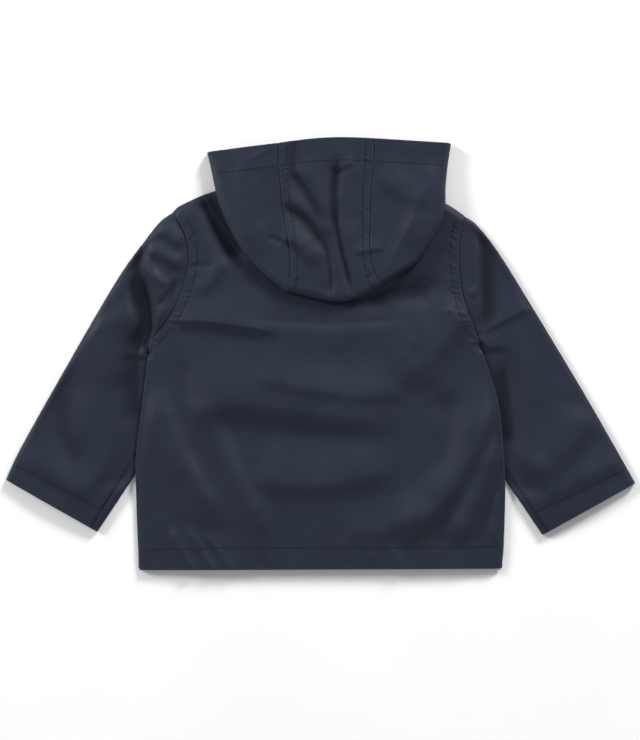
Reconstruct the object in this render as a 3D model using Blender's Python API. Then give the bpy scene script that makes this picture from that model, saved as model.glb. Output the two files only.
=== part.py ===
"""A child's hooded raincoat of navy coated cloth. It lies face down, its back up, the hood turned down on it.

Lengths are in millimetres here and become metres when a mesh is made. X runs from the wearer's left cuff to the
right one, Y from the hem to the neck, and Z up from the surface that the coat lies on. The front panels lie
on that surface, the back panel lies on them, and the sleeves are flattened tubes beside them.
"""

import math

import bpy
import numpy as np

MM = 0.001
CLOTH = 1.1  # thickness of the coated cloth, with its seam allowances pressed flat
DRAPED_CLOTH = 1.3  # measured straight down through a sloping panel, so that the wall stays over 1 mm
GAP = 0.3  # between two pieces that meet at a seam

BACK_LEVEL = 6.0  # top face of the back and of the sleeves where they lie smooth
SEAM_LEVEL = CLOTH + GAP + DRAPED_CLOTH  # top face of the back where it comes down to a front panel
FOLD_MIDDLE = 1.3  # height of the crease of a sleeve's folded edge
BACK_ROLL = 7.0  # how far in from its side seams the back panel rounds down
BACK_FOLDS_IN = 14.0  # and how far in its folds reach their full height
FLOOR_MARGIN = 1.05  # the back clears the fronts under it by this much more than they rise
SLEEVE_ROLL = 5.0  # the same roll for a sleeve's folded edges
SLEEVE_FOLDS_IN = 12.0
OUTER_PACE = 0.8  # under 1, a sleeve's sections spread fast along its outer edge near the armhole
INNER_PACE = 1.8  # over 1, they spread slowly along its inner edge there

TUCK_LIFT = 2 * CLOTH + 0.7  # rise of the body's side edge where it lies over a sleeve
TUCK_LEVEL = 2 * CLOTH + 0.4  # top face of a sleeve where the body lies over it
TUCK_SPAN = {"left": 124.0, "right": 139.0}  # how far below the underarm the sleeve stays tucked
TUCK_START = 3.0  # the tuck begins this far below the underarm
TUCK_RAMP = 17.0  # and takes this long to rise there and to fall at its lower end
TUCK_FLAT = 8.0  # across, the tuck is level this far in from the side edge, and gone at TUCK_FADE
TUCK_FADE = 20.0
FRONT_INSET = 0.5  # how far the fronts lie inside the back's outline

PLACKET_HALF = 14.0  # the fronts overlap this far past the centre line
PLACKET_RAMP = 8.0  # length of the step up to the overlap
STUD_RADIUS = 6.0
STUD_HEIGHT = 0.6
STUD_COUNT = 5
STUD_TOP = 118.0
STUD_PITCH = 70.0
STUD_SIDES = 24

HOOD_WALL = 1.2
HOOD_REST = BACK_LEVEL + GAP  # lower face of the hood's hidden layer on the back panel
HOOD_CREASE = 1.9  # from that face up to the middle of the hood's folded rim
HOOD_ROLL_UNDER = 2.5  # how far in from the rim the hidden layer rounds down
HOOD_ROLL_OVER = 13.0  # and the top layer rounds up
HOOD_EDGE_LEVEL = 14.0  # top face at the middle of the face edge
HOOD_CROWN_RISE = 3.0  # the top layer rises this much towards the crown
HOOD_CROWN_START = 200.0  # from this height on the coat down
HOOD_CROWN_RAMP = 90.0
HOOD_MIDDLE_X = 8.0
HOOD_CORNER_DROP = 7.0  # both ends of the face edge lie this much lower than its middle
HOOD_CORNER_X = 55.0  # the drop begins this far from the middle, and HOOD_CORNER_Y up the coat
HOOD_CORNER_Y = 140.0
HOOD_CORNER_RAMP = 60.0
HOOD_COVER_Y = 38.0  # the hood covers the back from here up at its middle, and from higher towards its sides
HOOD_COVER_X = 12.0
HOOD_COVER_BEND = 0.0063
HOOD_COVER_FADE = 10.0

NAVY = (0.026, 0.032, 0.049, 1.0)
CLOTH_ROUGHNESS = 0.5
STUD_NAVY = (0.03, 0.036, 0.052, 1.0)
STUD_ROUGHNESS = 0.35

# Where the walls' points lie: the first few are measured in from an edge, and the rest are spread evenly.
EDGE_STEPS = (0.0, 0.7, 2.2, 5.5)
UNDER_STEPS = (0.0, 0.7, 2.2)
BACK_EDGE_STEPS = (0.0, 2.5, 7.0)
FRONT_EDGE_STEPS = (0.0, TUCK_FLAT, 14.0, TUCK_FADE)
PLACKET_STEPS = (0.0, *(2 * PLACKET_HALF + step for step in (0.0, 4.0, 12.0, 16.0)))
BACK_COLUMNS = 20
FRONT_COLUMNS = 5
SLEEVE_COLUMNS_OVER = 8
SLEEVE_COLUMNS_UNDER = 6
SLEEVE_ROWS = 18
ARMHOLE_LENGTH = 155.0  # a nominal length, by which a body panel and its sleeve share the places on their seam
SIDE_SHARES = np.linspace(0, 1, 16)
HOOD_EDGE_STEPS = (7.5, 3.2, 1.0, 0.0)
HOOD_RETURN_STEPS = (0.8, 2.6)
HOOD_NARROW = 12.0  # a section of the hood shorter than this has its edge steps scaled down
HOOD_COLUMNS_OVER = 5
HOOD_COLUMNS_UNDER = 5
HOOD_COLUMNS_CENTER = 10
HOOD_ROWS = np.array([0, 1, 2, 3, 4, 5, 6, 7, 7.5, 8, 8.5, 9, 9.5, 10, 10.5, 11, 11.5, 12])

# Outlines of the flat coat. Each is a smooth curve through its points.
SHOULDER_LEFT = ((-146.5, 142.5), (-138.0, 149.4), (-105.5, 163.0), (-70.5, 167.5))
SHOULDER_RIGHT = ((74.5, 164.5), (100.0, 160.5), (125.4, 150.3), (143.0, 138.5))
BACK_NECK = ((-70.5, 167.5), (-35.0, 163.5), (1.5, 161.5), (40.0, 162.0), (74.5, 164.5))
FRONT_NECK_LEFT = ((-70.5, 167.5), (-45.0, 155.0), (-20.0, 142.5), (0.0, 139.0), (PLACKET_HALF, 139.0))
FRONT_NECK_RIGHT = ((-PLACKET_HALF, 139.0), (0.0, 139.0), (22.0, 142.0), (48.0, 153.5), (74.5, 164.5))
ARMHOLE_LEFT = (
    (-146.5, 142.5), (-134.5, 119.5), (-130.9, 94.9), (-136.0, 68.8), (-145.9, 44.5), (-160.5, 23.5),
    (-168.6, 14.0), (-172.0, 1.5),
)
ARMHOLE_RIGHT = (
    (143.0, 138.5), (138.6, 116.0), (137.7, 97.9), (140.0, 67.5), (145.3, 44.5), (153.0, 26.0), (159.5, 8.5),
)
SIDE_LEFT = (
    (-172.0, 1.5), (-177.9, -48.5), (-184.2, -102.5), (-184.0, -145.0), (-182.9, -180.0), (-180.9, -215.3),
)
SIDE_RIGHT = (
    (159.5, 8.5), (177.3, -47.5), (183.6, -109.5), (184.3, -150.0), (182.6, -198.5), (179.5, -213.8),
)
OUTER_ARM_LEFT = (
    (-146.5, 142.5), (-159.7, 133.2), (-173.5, 116.3), (-201.1, 78.0), (-247.0, -0.1), (-297.5, -89.8),
    (-314.3, -125.0),
)
OUTER_ARM_RIGHT = (
    (143.0, 138.5), (156.1, 129.3), (177.5, 102.5), (211.2, 48.2), (263.3, -38.5), (301.5, -105.1),
    (314.6, -128.5),
)
INNER_ARM_LEFT = (
    (-172.0, 1.5), (-175.1, -8.0), (-177.2, -20.0), (-175.0, -35.0), (-173.6, -55.0), (-175.2, -76.0),
    (-179.0, -98.0), (-184.6, -118.1), (-198.0, -139.5), (-222.8, -177.0),
)
INNER_ARM_RIGHT = (
    (159.5, 8.5), (166.4, -6.5), (172.6, -23.0), (172.4, -40.0), (173.5, -60.0), (176.5, -83.0),
    (179.8, -105.0), (185.4, -125.8), (198.9, -146.5), (221.6, -180.3),
)

# The hood's sections, from its face edge down to its crown. Each runs from the seam with the middle strip, over
# the top layer to the folded rim, and back under it to the neck seam. rim_rise and neck_rise are how high the
# hidden layer lies there: 0 is beside the fronts, on the surface, and 1 is on top of the back panel.
HOOD_LEFT_SECTIONS = (
    # seam_x, seam_y, rim_x, rim_y, neck_x, neck_y, rim_rise, neck_rise
    (-41.7, 210.4, -113.5, 201.5, -1.0, 140.2, 0.0, 0.0),
    (-41.7, 203.5, -111.9, 196.0, -22.0, 144.6, 0.0, 0.0),
    (-41.7, 197.0, -110.8, 191.5, -45.0, 156.2, 0.0, 0.0),
    (-41.6, 190.5, -109.8, 187.2, -67.5, 167.3, 0.0, 0.0),
    (-41.2, 183.0, -108.2, 180.0, -72.0, 172.5, 0.12, 0.12),
    (-40.6, 175.0, -106.7, 172.5, -75.5, 170.6, 0.45, 0.56),
    (-39.8, 166.5, -105.0, 165.0, -73.5, 166.0, 0.86, 0.86),
    (-39.1, 158.0, -103.2, 157.5, -66.3, 166.4, 1.0, 1.0),
    (-37.4, 144.0, -99.0, 144.5, -60.5, 166.0, 1.0, 1.0),
    (-34.6, 127.5, -91.0, 126.5, -55.5, 165.4, 1.0, 1.0),
    (-31.0, 105.0, -76.9, 102.4, -51.0, 164.9, 1.0, 1.0),
    (-30.0, 84.0, -55.5, 79.1, -47.5, 164.5, 1.0, 1.0),
    (-32.8, 67.5, -34.1, 62.4, -45.0, 164.3, 1.0, 1.0),
)
HOOD_RIGHT_SECTIONS = (
    (53.4, 214.9, 130.5, 210.4, 1.0, 140.2, 0.0, 0.0),
    (53.4, 207.0, 129.3, 203.0, 23.5, 143.9, 0.0, 0.0),
    (53.2, 199.5, 128.2, 196.5, 48.0, 154.8, 0.0, 0.0),
    (53.0, 192.5, 127.3, 190.5, 71.5, 164.6, 0.0, 0.0),
    (52.2, 184.5, 126.4, 183.0, 76.5, 170.5, 0.12, 0.12),
    (51.4, 176.0, 125.4, 174.0, 79.5, 168.4, 0.45, 0.56),
    (50.4, 167.0, 124.6, 165.0, 78.0, 163.6, 0.86, 0.86),
    (49.9, 158.0, 124.6, 154.0, 70.2, 163.5, 1.0, 1.0),
    (49.4, 144.0, 123.9, 142.0, 65.0, 163.1, 1.0, 1.0),
    (49.0, 127.5, 116.5, 123.0, 60.5, 162.7, 1.0, 1.0),
    (48.6, 105.0, 98.1, 93.4, 56.5, 162.4, 1.0, 1.0),
    (52.4, 84.0, 77.0, 78.6, 53.0, 162.1, 1.0, 1.0),
    (57.6, 72.0, 59.7, 66.8, 49.5, 161.9, 1.0, 1.0),
)
FACE_EDGE_BOW = 3.0  # the face edge bows out between the two seams by this much
FACE_EDGE_START = 150.0  # the bow begins this far up the coat
FACE_EDGE_RAMP = 60.0
CROWN_BOW = 12.5  # and the crown below them by this much
CROWN_SKEW = 1.25  # over 1, the crown is lowest to the right of the strip's middle
CROWN_BOW_REACH = 45.0

# Folds and dents: the start, middle and end of each, its half width, and its height above the smooth cloth.
COAT_FOLDS = (
    # start_x, start_y, middle_x, middle_y, end_x, end_y, half_width, height
    (-141.5, 31.5, -95.5, 23.5, -50.5, 19.5, 10.0, -0.8),
    (-67.5, 33.0, 5.5, 29.0, 79.5, 35.5, 10.0, 1.9),
    (91.5, 54.5, 92.0, 35.0, 89.0, 15.5, 8.0, 1.3),
    (133.5, 40.5, 112.0, 2.0, 72.5, -21.5, 13.0, -0.8),
    (-38.5, -11.5, -10.0, -15.0, 18.5, -21.5, 10.0, 1.2),
    (-55.5, -35.5, 0.0, -50.0, 54.5, -63.5, 11.0, 1.2),
    (-129.5, -57.0, -43.5, -70.0, 37.5, -84.0, 15.0, -0.8),
    (-100.0, -84.0, -10.0, -105.0, 70.0, -99.0, 18.0, 1.6),
    (-50.5, -122.5, 0.5, -144.5, 67.5, -126.5, 11.0, -0.8),
    (-165.5, -41.5, -153.5, -102.5, -119.5, -151.5, 10.0, 2.3),
    (-124.5, -70.5, -97.5, -126.5, -70.5, -188.5, 10.0, 1.8),
    (-87.5, -72.5, -62.5, -126.5, -50.5, -144.5, 9.0, 1.3),
    (-138.5, -16.5, -134.0, -92.5, -124.5, -119.5, 9.0, -0.8),
    (163.5, -33.5, 128.5, -114.5, 79.5, -168.5, 12.0, 2.6),
    (172.5, -70.5, 131.5, -144.5, 86.5, -188.5, 9.0, -0.8),
    (172.5, -95.5, 153.5, -136.5, 145.5, -168.5, 8.0, 1.8),
    (-173.5, 113.5, -155.0, 107.0, -139.5, 89.5, 8.0, 1.6),
    (-150.5, 66.5, -156.0, 58.0, -162.5, 50.5, 7.0, 1.6),
    (-180.5, 98.5, -174.5, 65.0, -173.5, 23.5, 9.0, -2.2),
    (-222.0, 52.0, -213.0, 25.0, -208.5, -9.5, 13.0, 2.2),
    (-190.0, 30.0, -184.0, 12.0, -190.0, -10.0, 10.0, -1.6),
    (-200.0, -10.0, -190.0, -30.0, -186.0, -50.0, 10.0, -1.3),
    (-240.0, -42.0, -236.0, -80.0, -222.0, -118.0, 16.0, -1.8),
    (-293.0, -104.0, -262.0, -124.0, -224.0, -147.0, 10.0, 1.2),
    (155.5, 124.0, 155.5, 92.0, 154.5, 60.0, 6.0, 1.6),
    (165.0, 113.0, 167.0, 76.0, 168.0, 40.0, 8.0, -1.8),
    (211.2, 46.6, 186.7, 32.1, 163.0, 19.8, 7.0, 1.8),
    (205.0, 35.0, 184.0, 20.0, 168.0, 8.0, 7.0, -1.3),
    (178.0, -18.0, 187.0, -50.0, 192.0, -84.0, 10.0, -1.8),
    (192.0, -108.0, 230.0, -114.0, 298.0, -94.0, 11.0, 1.8),
    (264.0, -67.0, 240.0, -100.0, 209.0, -134.0, 13.0, -1.6),
)
HOOD_FOLDS = (
    (-24.5, 212.0, -26.0, 185.0, 2.5, 136.5, 8.0, -1.8),
    (-24.5, 150.5, 2.0, 116.0, 9.5, 72.5, 8.0, -1.8),
    (16.5, 185.0, 18.5, 126.5, 34.0, 58.5, 7.0, -2.2),
    (-24.5, 168.5, -10.0, 150.0, 2.5, 133.5, 7.0, 1.2),
    (-20.5, 129.5, -4.0, 100.0, 6.5, 63.5, 8.0, 1.6),
    (-67.5, 177.5, -68.0, 150.0, -65.0, 123.5, 10.0, -1.6),
    (-49.5, 112.5, -28.0, 104.0, -14.0, 86.0, 8.0, -1.6),
    (107.5, 185.5, 92.0, 136.5, 68.5, 80.5, 11.0, 2.0),
    (60.5, 175.5, 80.0, 163.0, 99.5, 148.5, 9.0, -1.4),
    (33.5, 102.5, 50.0, 101.0, 65.5, 99.5, 7.0, -1.4),
)


class Curve:
    """A smooth curve through points in the plane, read by the share of its length."""

    def __init__(self, points, corners=()):
        points = np.array(points, float)
        cuts = [0, *corners, len(points) - 1]
        runs = [self.smooth(points[a:b + 1]) for a, b in zip(cuts, cuts[1:])]
        self.line = np.concatenate([runs[0]] + [run[1:] for run in runs[1:]])
        steps = np.linalg.norm(np.diff(self.line, axis=0), axis=1)
        self.reach = np.concatenate([[0.0], np.cumsum(steps)])
        self.length = self.reach[-1]

    @staticmethod
    def smooth(points, steps=12):
        """Catmull-Rom points, the ends drawn out straight."""
        ends = [2 * points[0] - points[1]], [2 * points[-1] - points[-2]]
        padded = np.concatenate([ends[0], points, ends[1]])
        share = np.linspace(0, 1, steps, endpoint=False)[:, None]
        runs = []
        for before, start, end, after in zip(padded, padded[1:], padded[2:], padded[3:]):
            bend = 2 * before - 5 * start + 4 * end - after
            twist = 3 * (start - end) + after - before
            runs.append(0.5 * (2 * start + (end - before) * share + bend * share**2 + twist * share**3))
        return np.concatenate([*runs, points[-1:]])

    def at(self, share):
        reach = np.asarray(share) * self.length
        return np.stack([np.interp(reach, self.reach, axis) for axis in self.line.T], axis=-1)

    def distance(self, spots):
        """How far each spot in the plane lies from the curve."""
        start = self.line[:-1]
        along = np.diff(self.line, axis=0)
        away = np.asarray(spots)[..., None, :] - start
        share = np.clip((away * along).sum(-1) / (along**2).sum(-1), 0, 1)
        return np.sqrt(((away - share[..., None] * along) ** 2).sum(-1).min(-1))


def smoothstep(value):
    value = np.clip(value, 0, 1)
    return value * value * (3 - 2 * value)


def rounded(distance, roll):
    """A quarter of an ellipse: 0 at the edge, 1 from roll inwards."""
    return np.sqrt(1 - (1 - np.clip(distance / roll, 0, 1)) ** 2)


def relief(spots, folds):
    """The height that the folds add at each spot: soft across, and fading out at both ends."""
    total = np.zeros(np.shape(spots)[:-1])
    for *route, half_width, height in folds:
        start, middle, end = np.array(route).reshape(3, 2)
        bend = 2 * middle - (start + end) / 2
        share = np.linspace(0, 1, 13)[:, None]
        line = (1 - share) ** 2 * start + 2 * share * (1 - share) * bend + share**2 * end
        along = np.diff(line, axis=0)
        away = spots[..., None, :] - line[:-1]
        part = np.clip((away * along).sum(-1) / (along**2).sum(-1), 0, 1)
        apart = ((away - part[..., None] * along) ** 2).sum(-1)
        nearest = apart.argmin(-1)[..., None]
        place = (nearest + np.take_along_axis(part, nearest, -1))[..., 0] / len(along)
        fade = smoothstep(4 * place) * smoothstep(4 * (1 - place))
        total += height * fade * np.exp(-apart.min(-1) / half_width**2)
    return total


def patch(sides, across, down):
    """Spots of a panel between four curves (top, bottom, left, right), by their shares across and down."""
    top, bottom, left, right = sides
    across, down = np.broadcast_arrays(across, down)
    u = across[..., None]
    v = down[..., None]
    ruled = (1 - v) * top.at(across) + v * bottom.at(across) + (1 - u) * left.at(down) + u * right.at(down)
    corners = (1 - u) * (1 - v) * top.at(0) + u * (1 - v) * top.at(1)
    corners += (1 - u) * v * bottom.at(0) + u * v * bottom.at(1)
    return ruled - corners


def places(length, near_start, near_end, count):
    """Places from 0 to length: fixed ones near both ends, and count even steps between them."""
    first = np.array(near_start)
    last = length - np.array(near_end)[::-1]
    middle = np.linspace(first[-1], last[0], count + 1)[1:-1]
    return np.concatenate([first, middle, last])


CURVES = {
    "left": {
        "shoulder": Curve(SHOULDER_LEFT), "armhole": Curve(ARMHOLE_LEFT), "side": Curve(SIDE_LEFT),
        "outer": Curve(OUTER_ARM_LEFT), "inner": Curve(INNER_ARM_LEFT),
    },
    "right": {
        "shoulder": Curve(SHOULDER_RIGHT), "armhole": Curve(ARMHOLE_RIGHT), "side": Curve(SIDE_RIGHT),
        "outer": Curve(OUTER_ARM_RIGHT), "inner": Curve(INNER_ARM_RIGHT),
    },
}


def seam_curve(side, name, inward):
    """A seam line of the coat moved by half the gap, towards the body if inward is 1 and away from it if -1."""
    line = CURVES[side][name].line.copy()
    toward_body = 1 if side == "left" else -1
    line[:, 0] += toward_body * inward * GAP / 2
    return Curve(line[::4])


def tuck(spots, side):
    """0 to 1: where the body's side edge lies over the sleeve beside it."""
    side_curve = CURVES[side]["side"]
    top = side_curve.line[0, 1]
    below = top - spots[..., 1]
    along = smoothstep((below - TUCK_START) / TUCK_RAMP)
    along *= 1 - smoothstep((below - TUCK_SPAN[side]) / TUCK_FADE)
    return along * (1 - smoothstep((side_curve.distance(spots) - TUCK_FLAT) / (TUCK_FADE - TUCK_FLAT)))


def overlap_rise(spots):
    """How far the right front stands off the surface along the centre, over the studs and the left front."""
    past = PLACKET_HALF + 2 * PLACKET_RAMP - np.abs(spots[..., 0])
    return (STUD_HEIGHT + CLOTH + 2 * GAP) * smoothstep(past / (1.5 * PLACKET_RAMP))


def front_floor(spots, side):
    """Lower face of a front panel: flat, but for the overlap at the centre and the tuck over the sleeve."""
    if side == "left":
        rise = (STUD_HEIGHT + GAP) * smoothstep((spots[..., 0] + PLACKET_HALF + PLACKET_RAMP) / PLACKET_RAMP)
    else:
        inside = np.where(spots[..., 0] < 0, 0.0, spots[..., 0])
        rise = overlap_rise(np.stack([inside, spots[..., 1]], axis=-1))
    return rise + TUCK_LIFT * tuck(spots, side)


def under_hood(spots):
    """0 to 1: where the back panel is covered by the hood, and so lies smooth."""
    rim = HOOD_COVER_Y + HOOD_COVER_BEND * (spots[..., 0] - HOOD_COVER_X) ** 2
    return smoothstep((spots[..., 1] - rim) / HOOD_COVER_FADE)


def back_level(spots):
    """Top face of the back panel."""
    seams = [CURVES[side][name].distance(spots) for side in CURVES for name in ("side", "shoulder")]
    seam = np.min(seams, axis=0)
    floor = overlap_rise(spots) + TUCK_LIFT * np.maximum(tuck(spots, "left"), tuck(spots, "right"))
    lowest = FLOOR_MARGIN * floor + CLOTH + GAP + DRAPED_CLOTH
    inside = 1 - (1 - np.clip(seam / BACK_ROLL, 0, 1)) ** 2
    folds = relief(spots, COAT_FOLDS) * (1 - under_hood(spots)) * smoothstep(seam / BACK_FOLDS_IN)
    level = SEAM_LEVEL + (BACK_LEVEL - SEAM_LEVEL) * inside + folds
    return np.maximum(level, lowest + GAP / 2 * smoothstep(2 * seam / BACK_ROLL))


def sleeve_level(spots, side):
    """Top face of a sleeve, without the roll of its folded edges."""
    outer = CURVES[side]["outer"].distance(spots)
    inner = CURVES[side]["inner"].distance(spots)
    below = CURVES[side]["side"].line[0, 1] - spots[..., 1]
    tucked = smoothstep(below / TUCK_RAMP) * (1 - smoothstep((below - TUCK_SPAN[side]) / TUCK_RAMP))
    strip = tucked * (1 - smoothstep((inner - TUCK_FLAT) / (TUCK_FADE - TUCK_FLAT)))
    level = BACK_LEVEL + relief(spots, COAT_FOLDS) * smoothstep(np.minimum(outer, inner) / SLEEVE_FOLDS_IN)
    return level + (TUCK_LEVEL - level) * strip


def hood_level(spots):
    """Top face of the hood's upper layer, without the roll of its rim."""
    x, y = spots[..., 0], spots[..., 1]
    level = HOOD_EDGE_LEVEL + HOOD_CROWN_RISE * smoothstep((HOOD_CROWN_START - y) / HOOD_CROWN_RAMP)
    aside = smoothstep((np.abs(x - HOOD_MIDDLE_X) - HOOD_CORNER_X) / HOOD_CORNER_RAMP)
    corner = aside * smoothstep((y - HOOD_CORNER_Y) / HOOD_CORNER_RAMP)
    return level - HOOD_CORNER_DROP * corner + relief(spots, HOOD_FOLDS)


def object_from(name, points, faces, color, roughness):
    mesh = bpy.data.meshes.new(name)
    mesh.from_pydata([tuple(point * MM) for point in points], [], faces)
    mesh.validate()
    mesh.shade_smooth()
    mesh.set_sharp_from_angle(angle=math.radians(40))
    material = bpy.data.materials.new(name)
    material.use_nodes = True
    shader = material.node_tree.nodes["Principled BSDF"]
    shader.inputs["Base Color"].default_value = color
    shader.inputs["Roughness"].default_value = roughness
    shader.inputs["Metallic"].default_value = 0.0
    mesh.materials.append(material)
    bpy.context.scene.collection.objects.link(bpy.data.objects.new(name, mesh))


def grid_faces(index, closed=False):
    """Quads between neighbouring rows and columns of a grid of vertex numbers."""
    columns = index.shape[1]
    faces = []
    for row, below in zip(index, index[1:]):
        for j in range(columns if closed else columns - 1):
            k = (j + 1) % columns
            faces.append((row[j], below[j], below[k], row[k]))
    return faces


def wall(name, outer, inner, closed=False):
    """A sheet of cloth between two grids of points. closed joins its last column to its first, as in a sleeve."""
    rows, columns = outer.shape[:2]
    points = np.concatenate([outer.reshape(-1, 3), inner.reshape(-1, 3)])
    over = np.arange(rows * columns).reshape(rows, columns)
    under = over + rows * columns
    faces = grid_faces(over, closed) + [face[::-1] for face in grid_faces(under, closed)]
    if closed:
        for near, far in ((under[0], over[0]), (over[-1], under[-1])):
            faces += grid_faces(np.array([near, far]), closed=True)
    else:
        loop = np.concatenate([np.arange(columns), columns * np.arange(1, rows) + columns - 1])
        back = np.concatenate([
            (rows - 1) * columns + np.arange(columns - 2, -1, -1), columns * np.arange(rows - 2, 0, -1),
        ])
        loop = np.concatenate([loop, back])
        faces += grid_faces(np.array([under.reshape(-1)[loop], over.reshape(-1)[loop]]), closed=True)
    object_from(name, points, faces, NAVY, CLOTH_ROUGHNESS)


def lifted(spots, level):
    return np.concatenate([spots, np.asarray(level)[..., None]], axis=-1)


def armhole_shares(steps, count):
    """Where the rows of a body panel, and the columns of a sleeve, meet the armhole seam."""
    return places(ARMHOLE_LENGTH, steps, steps, count) / ARMHOLE_LENGTH


def panel_grid(above, below, shares_above, shares_below, columns):
    """Spots of a body panel: one patch beside the armhole and one below it, which share a row."""
    blocks = []
    for sides, shares in ((above, shares_above), (below, shares_below[1:])):
        widths = np.linalg.norm(sides[2].at(shares) - sides[3].at(shares), axis=1)
        across = np.array([columns(width) / width for width in widths])
        blocks.append(patch(sides, across, shares[:, None]))
    return np.concatenate(blocks)


def make_back():
    armhole = {side: seam_curve(side, "armhole", 1) for side in CURVES}
    top = Curve([*SHOULDER_LEFT, *BACK_NECK[1:], *SHOULDER_RIGHT[1:]], corners=(3, 7))
    chest = Curve([armhole["left"].line[-1], armhole["right"].line[-1]])
    hem = Curve([SIDE_LEFT[-1], SIDE_RIGHT[-1]])
    above = (top, chest, armhole["left"], armhole["right"])
    below = (chest, hem, Curve(SIDE_LEFT), Curve(SIDE_RIGHT))
    spots = panel_grid(
        above, below, armhole_shares(EDGE_STEPS, SLEEVE_COLUMNS_OVER), SIDE_SHARES,
        lambda width: places(width, BACK_EDGE_STEPS, BACK_EDGE_STEPS, BACK_COLUMNS),
    )
    level = back_level(spots)
    wall("back", lifted(spots, level), lifted(spots, level - DRAPED_CLOTH))


def make_front(side):
    """A front panel: its outline is the back's, a little inside it, as far as the overlap at the centre."""
    sign = 1 if side == "left" else -1
    armhole = seam_curve(side, "armhole", 1)
    neck = FRONT_NECK_LEFT if side == "left" else FRONT_NECK_RIGHT[::-1]
    shoulder = SHOULDER_LEFT if side == "left" else SHOULDER_RIGHT[::-1]
    edge_x = sign * PLACKET_HALF
    hem_y = SIDE_LEFT[-1][1] + 4 * FRONT_INSET
    chest_end = (edge_x, armhole.line[-1, 1])
    hem_end = (edge_x, hem_y)
    top = Curve([*shoulder, *neck[1:]], corners=(3,))
    chest = Curve([armhole.line[-1], chest_end])
    outline = [(x + sign * FRONT_INSET, y) for x, y in (SIDE_LEFT if side == "left" else SIDE_RIGHT)[:-1]]
    hem_start = (outline[-1][0] + sign * FRONT_INSET, hem_y)
    above = (top, chest, armhole, Curve([neck[-1], chest_end]))
    below = (chest, Curve([hem_start, hem_end]), Curve([*outline, hem_start]), Curve([chest_end, hem_end]))
    spots = panel_grid(
        above, below, armhole_shares(UNDER_STEPS, SLEEVE_COLUMNS_UNDER), SIDE_SHARES,
        lambda width: places(width, FRONT_EDGE_STEPS, PLACKET_STEPS, FRONT_COLUMNS),
    )
    if side == "right":
        spots = spots[:, ::-1]
    level = front_floor(spots, side)
    wall("front_" + side, lifted(spots, level + CLOTH), lifted(spots, level))


def inset(distance, wall_thickness, reach):
    """Where the inside of a folded edge's wall lies, for a place this far in from the outside of the fold."""
    return distance + wall_thickness * np.clip(1 - distance / reach, 0, 1)


def sleeve_spots(armhole, outer, inner, across, down):
    """Spots of a sleeve, whose sections turn from the armhole, where they start, to the cuff."""
    across, down = np.broadcast_arrays(across, down)
    share = across[..., None]
    straight = outer.at(down**OUTER_PACE) * (1 - share) + inner.at(down**INNER_PACE) * share
    bow = armhole.at(across) - armhole.at(0) * (1 - share) - armhole.at(1) * share
    return straight + bow * (1 - down[..., None]) ** 3


def make_sleeve(side):
    """A flattened tube: its columns run over the top layer to the seam under the arm, and back underneath."""
    armhole = seam_curve(side, "armhole", -1)
    sign = -1 if side == "left" else 1
    outer_points = OUTER_ARM_LEFT if side == "left" else OUTER_ARM_RIGHT
    inner_points = INNER_ARM_LEFT if side == "left" else INNER_ARM_RIGHT
    outer = Curve([armhole.line[0], *outer_points[1:]])
    inner = Curve([armhole.line[-1], *inner_points[1:]])
    rows = np.linspace(0, 1, SLEEVE_ROWS)
    widths = np.linalg.norm(outer.at(rows**OUTER_PACE) - inner.at(rows**INNER_PACE), axis=1)
    widths[0] = ARMHOLE_LENGTH
    grids = []
    for wall_in in (0.0, CLOTH):
        over = np.array([places(width, EDGE_STEPS, EDGE_STEPS, SLEEVE_COLUMNS_OVER) for width in widths])
        under = [places(width, UNDER_STEPS, UNDER_STEPS, SLEEVE_COLUMNS_UNDER)[1:-1] for width in widths]
        under = np.array(under)[:, ::-1]
        layers = []
        for place, roll, on_top in ((over, SLEEVE_ROLL, True), (under, UNDER_STEPS[-1], False)):
            half = widths[:, None] / 2
            depth = half - np.abs(place - half)
            moved = inset(depth, wall_in, EDGE_STEPS[-1])
            place = np.where(place < half, moved, 2 * half - moved)
            spots = sleeve_spots(armhole, outer, inner, place / widths[:, None], rows[:, None])
            turn = rounded(np.maximum(moved - wall_in, 0), roll - wall_in)
            face = sleeve_level(spots, side) - wall_in if on_top else wall_in
            layers.append(lifted(spots, FOLD_MIDDLE + (face - FOLD_MIDDLE) * turn))
        grids.append(np.concatenate(layers, axis=1)[:, ::-sign])
    wall("sleeve_" + side, *grids, closed=True)


def read_sections(table, at_rows):
    """The hood's sections read between the table's rows: smoothly in the plane, evenly in height."""
    table = np.array(table)
    every = np.arange(len(table))
    smooth = [Curve.smooth(table[:, k:k + 2]) for k in (0, 2, 4)]
    fine = np.linspace(0, len(table) - 1, len(smooth[0]))
    plane = [[np.interp(at_rows, fine, line[:, axis]) for axis in (0, 1)] for line in smooth]
    seam, rim, neck = (np.stack(pair, axis=-1) for pair in plane)
    rises = [np.interp(at_rows, every, table[:, k]) for k in (6, 7)]
    return seam, rim, neck, rises


def hood_path(length_over, length_under, wall_in):
    """Places along a hood section, measured in from the folded rim: over the top layer, then under it."""
    near = np.array(HOOD_EDGE_STEPS) * min(1.0, length_over / HOOD_NARROW)
    far = np.linspace(length_over, near[0], HOOD_COLUMNS_OVER + 1)[:-1]
    over = np.concatenate([far, near])
    back = np.array(HOOD_RETURN_STEPS)
    under = np.concatenate([back, np.linspace(back[-1], length_under, HOOD_COLUMNS_UNDER + 1)[1:]])
    return inset(over, wall_in, near[0]), inset(under, wall_in, HOOD_EDGE_STEPS[0])


def hood_over(spots, depth, crease, wall_in):
    turn = rounded(np.maximum(depth - wall_in, 0), HOOD_ROLL_OVER - wall_in)
    return crease + (hood_level(spots) - wall_in - crease) * turn


def hood_under(depth, crease, rest, wall_in):
    turn = rounded(np.maximum(depth - wall_in, 0), HOOD_ROLL_UNDER - wall_in)
    return crease + (rest + wall_in - crease) * turn


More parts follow.
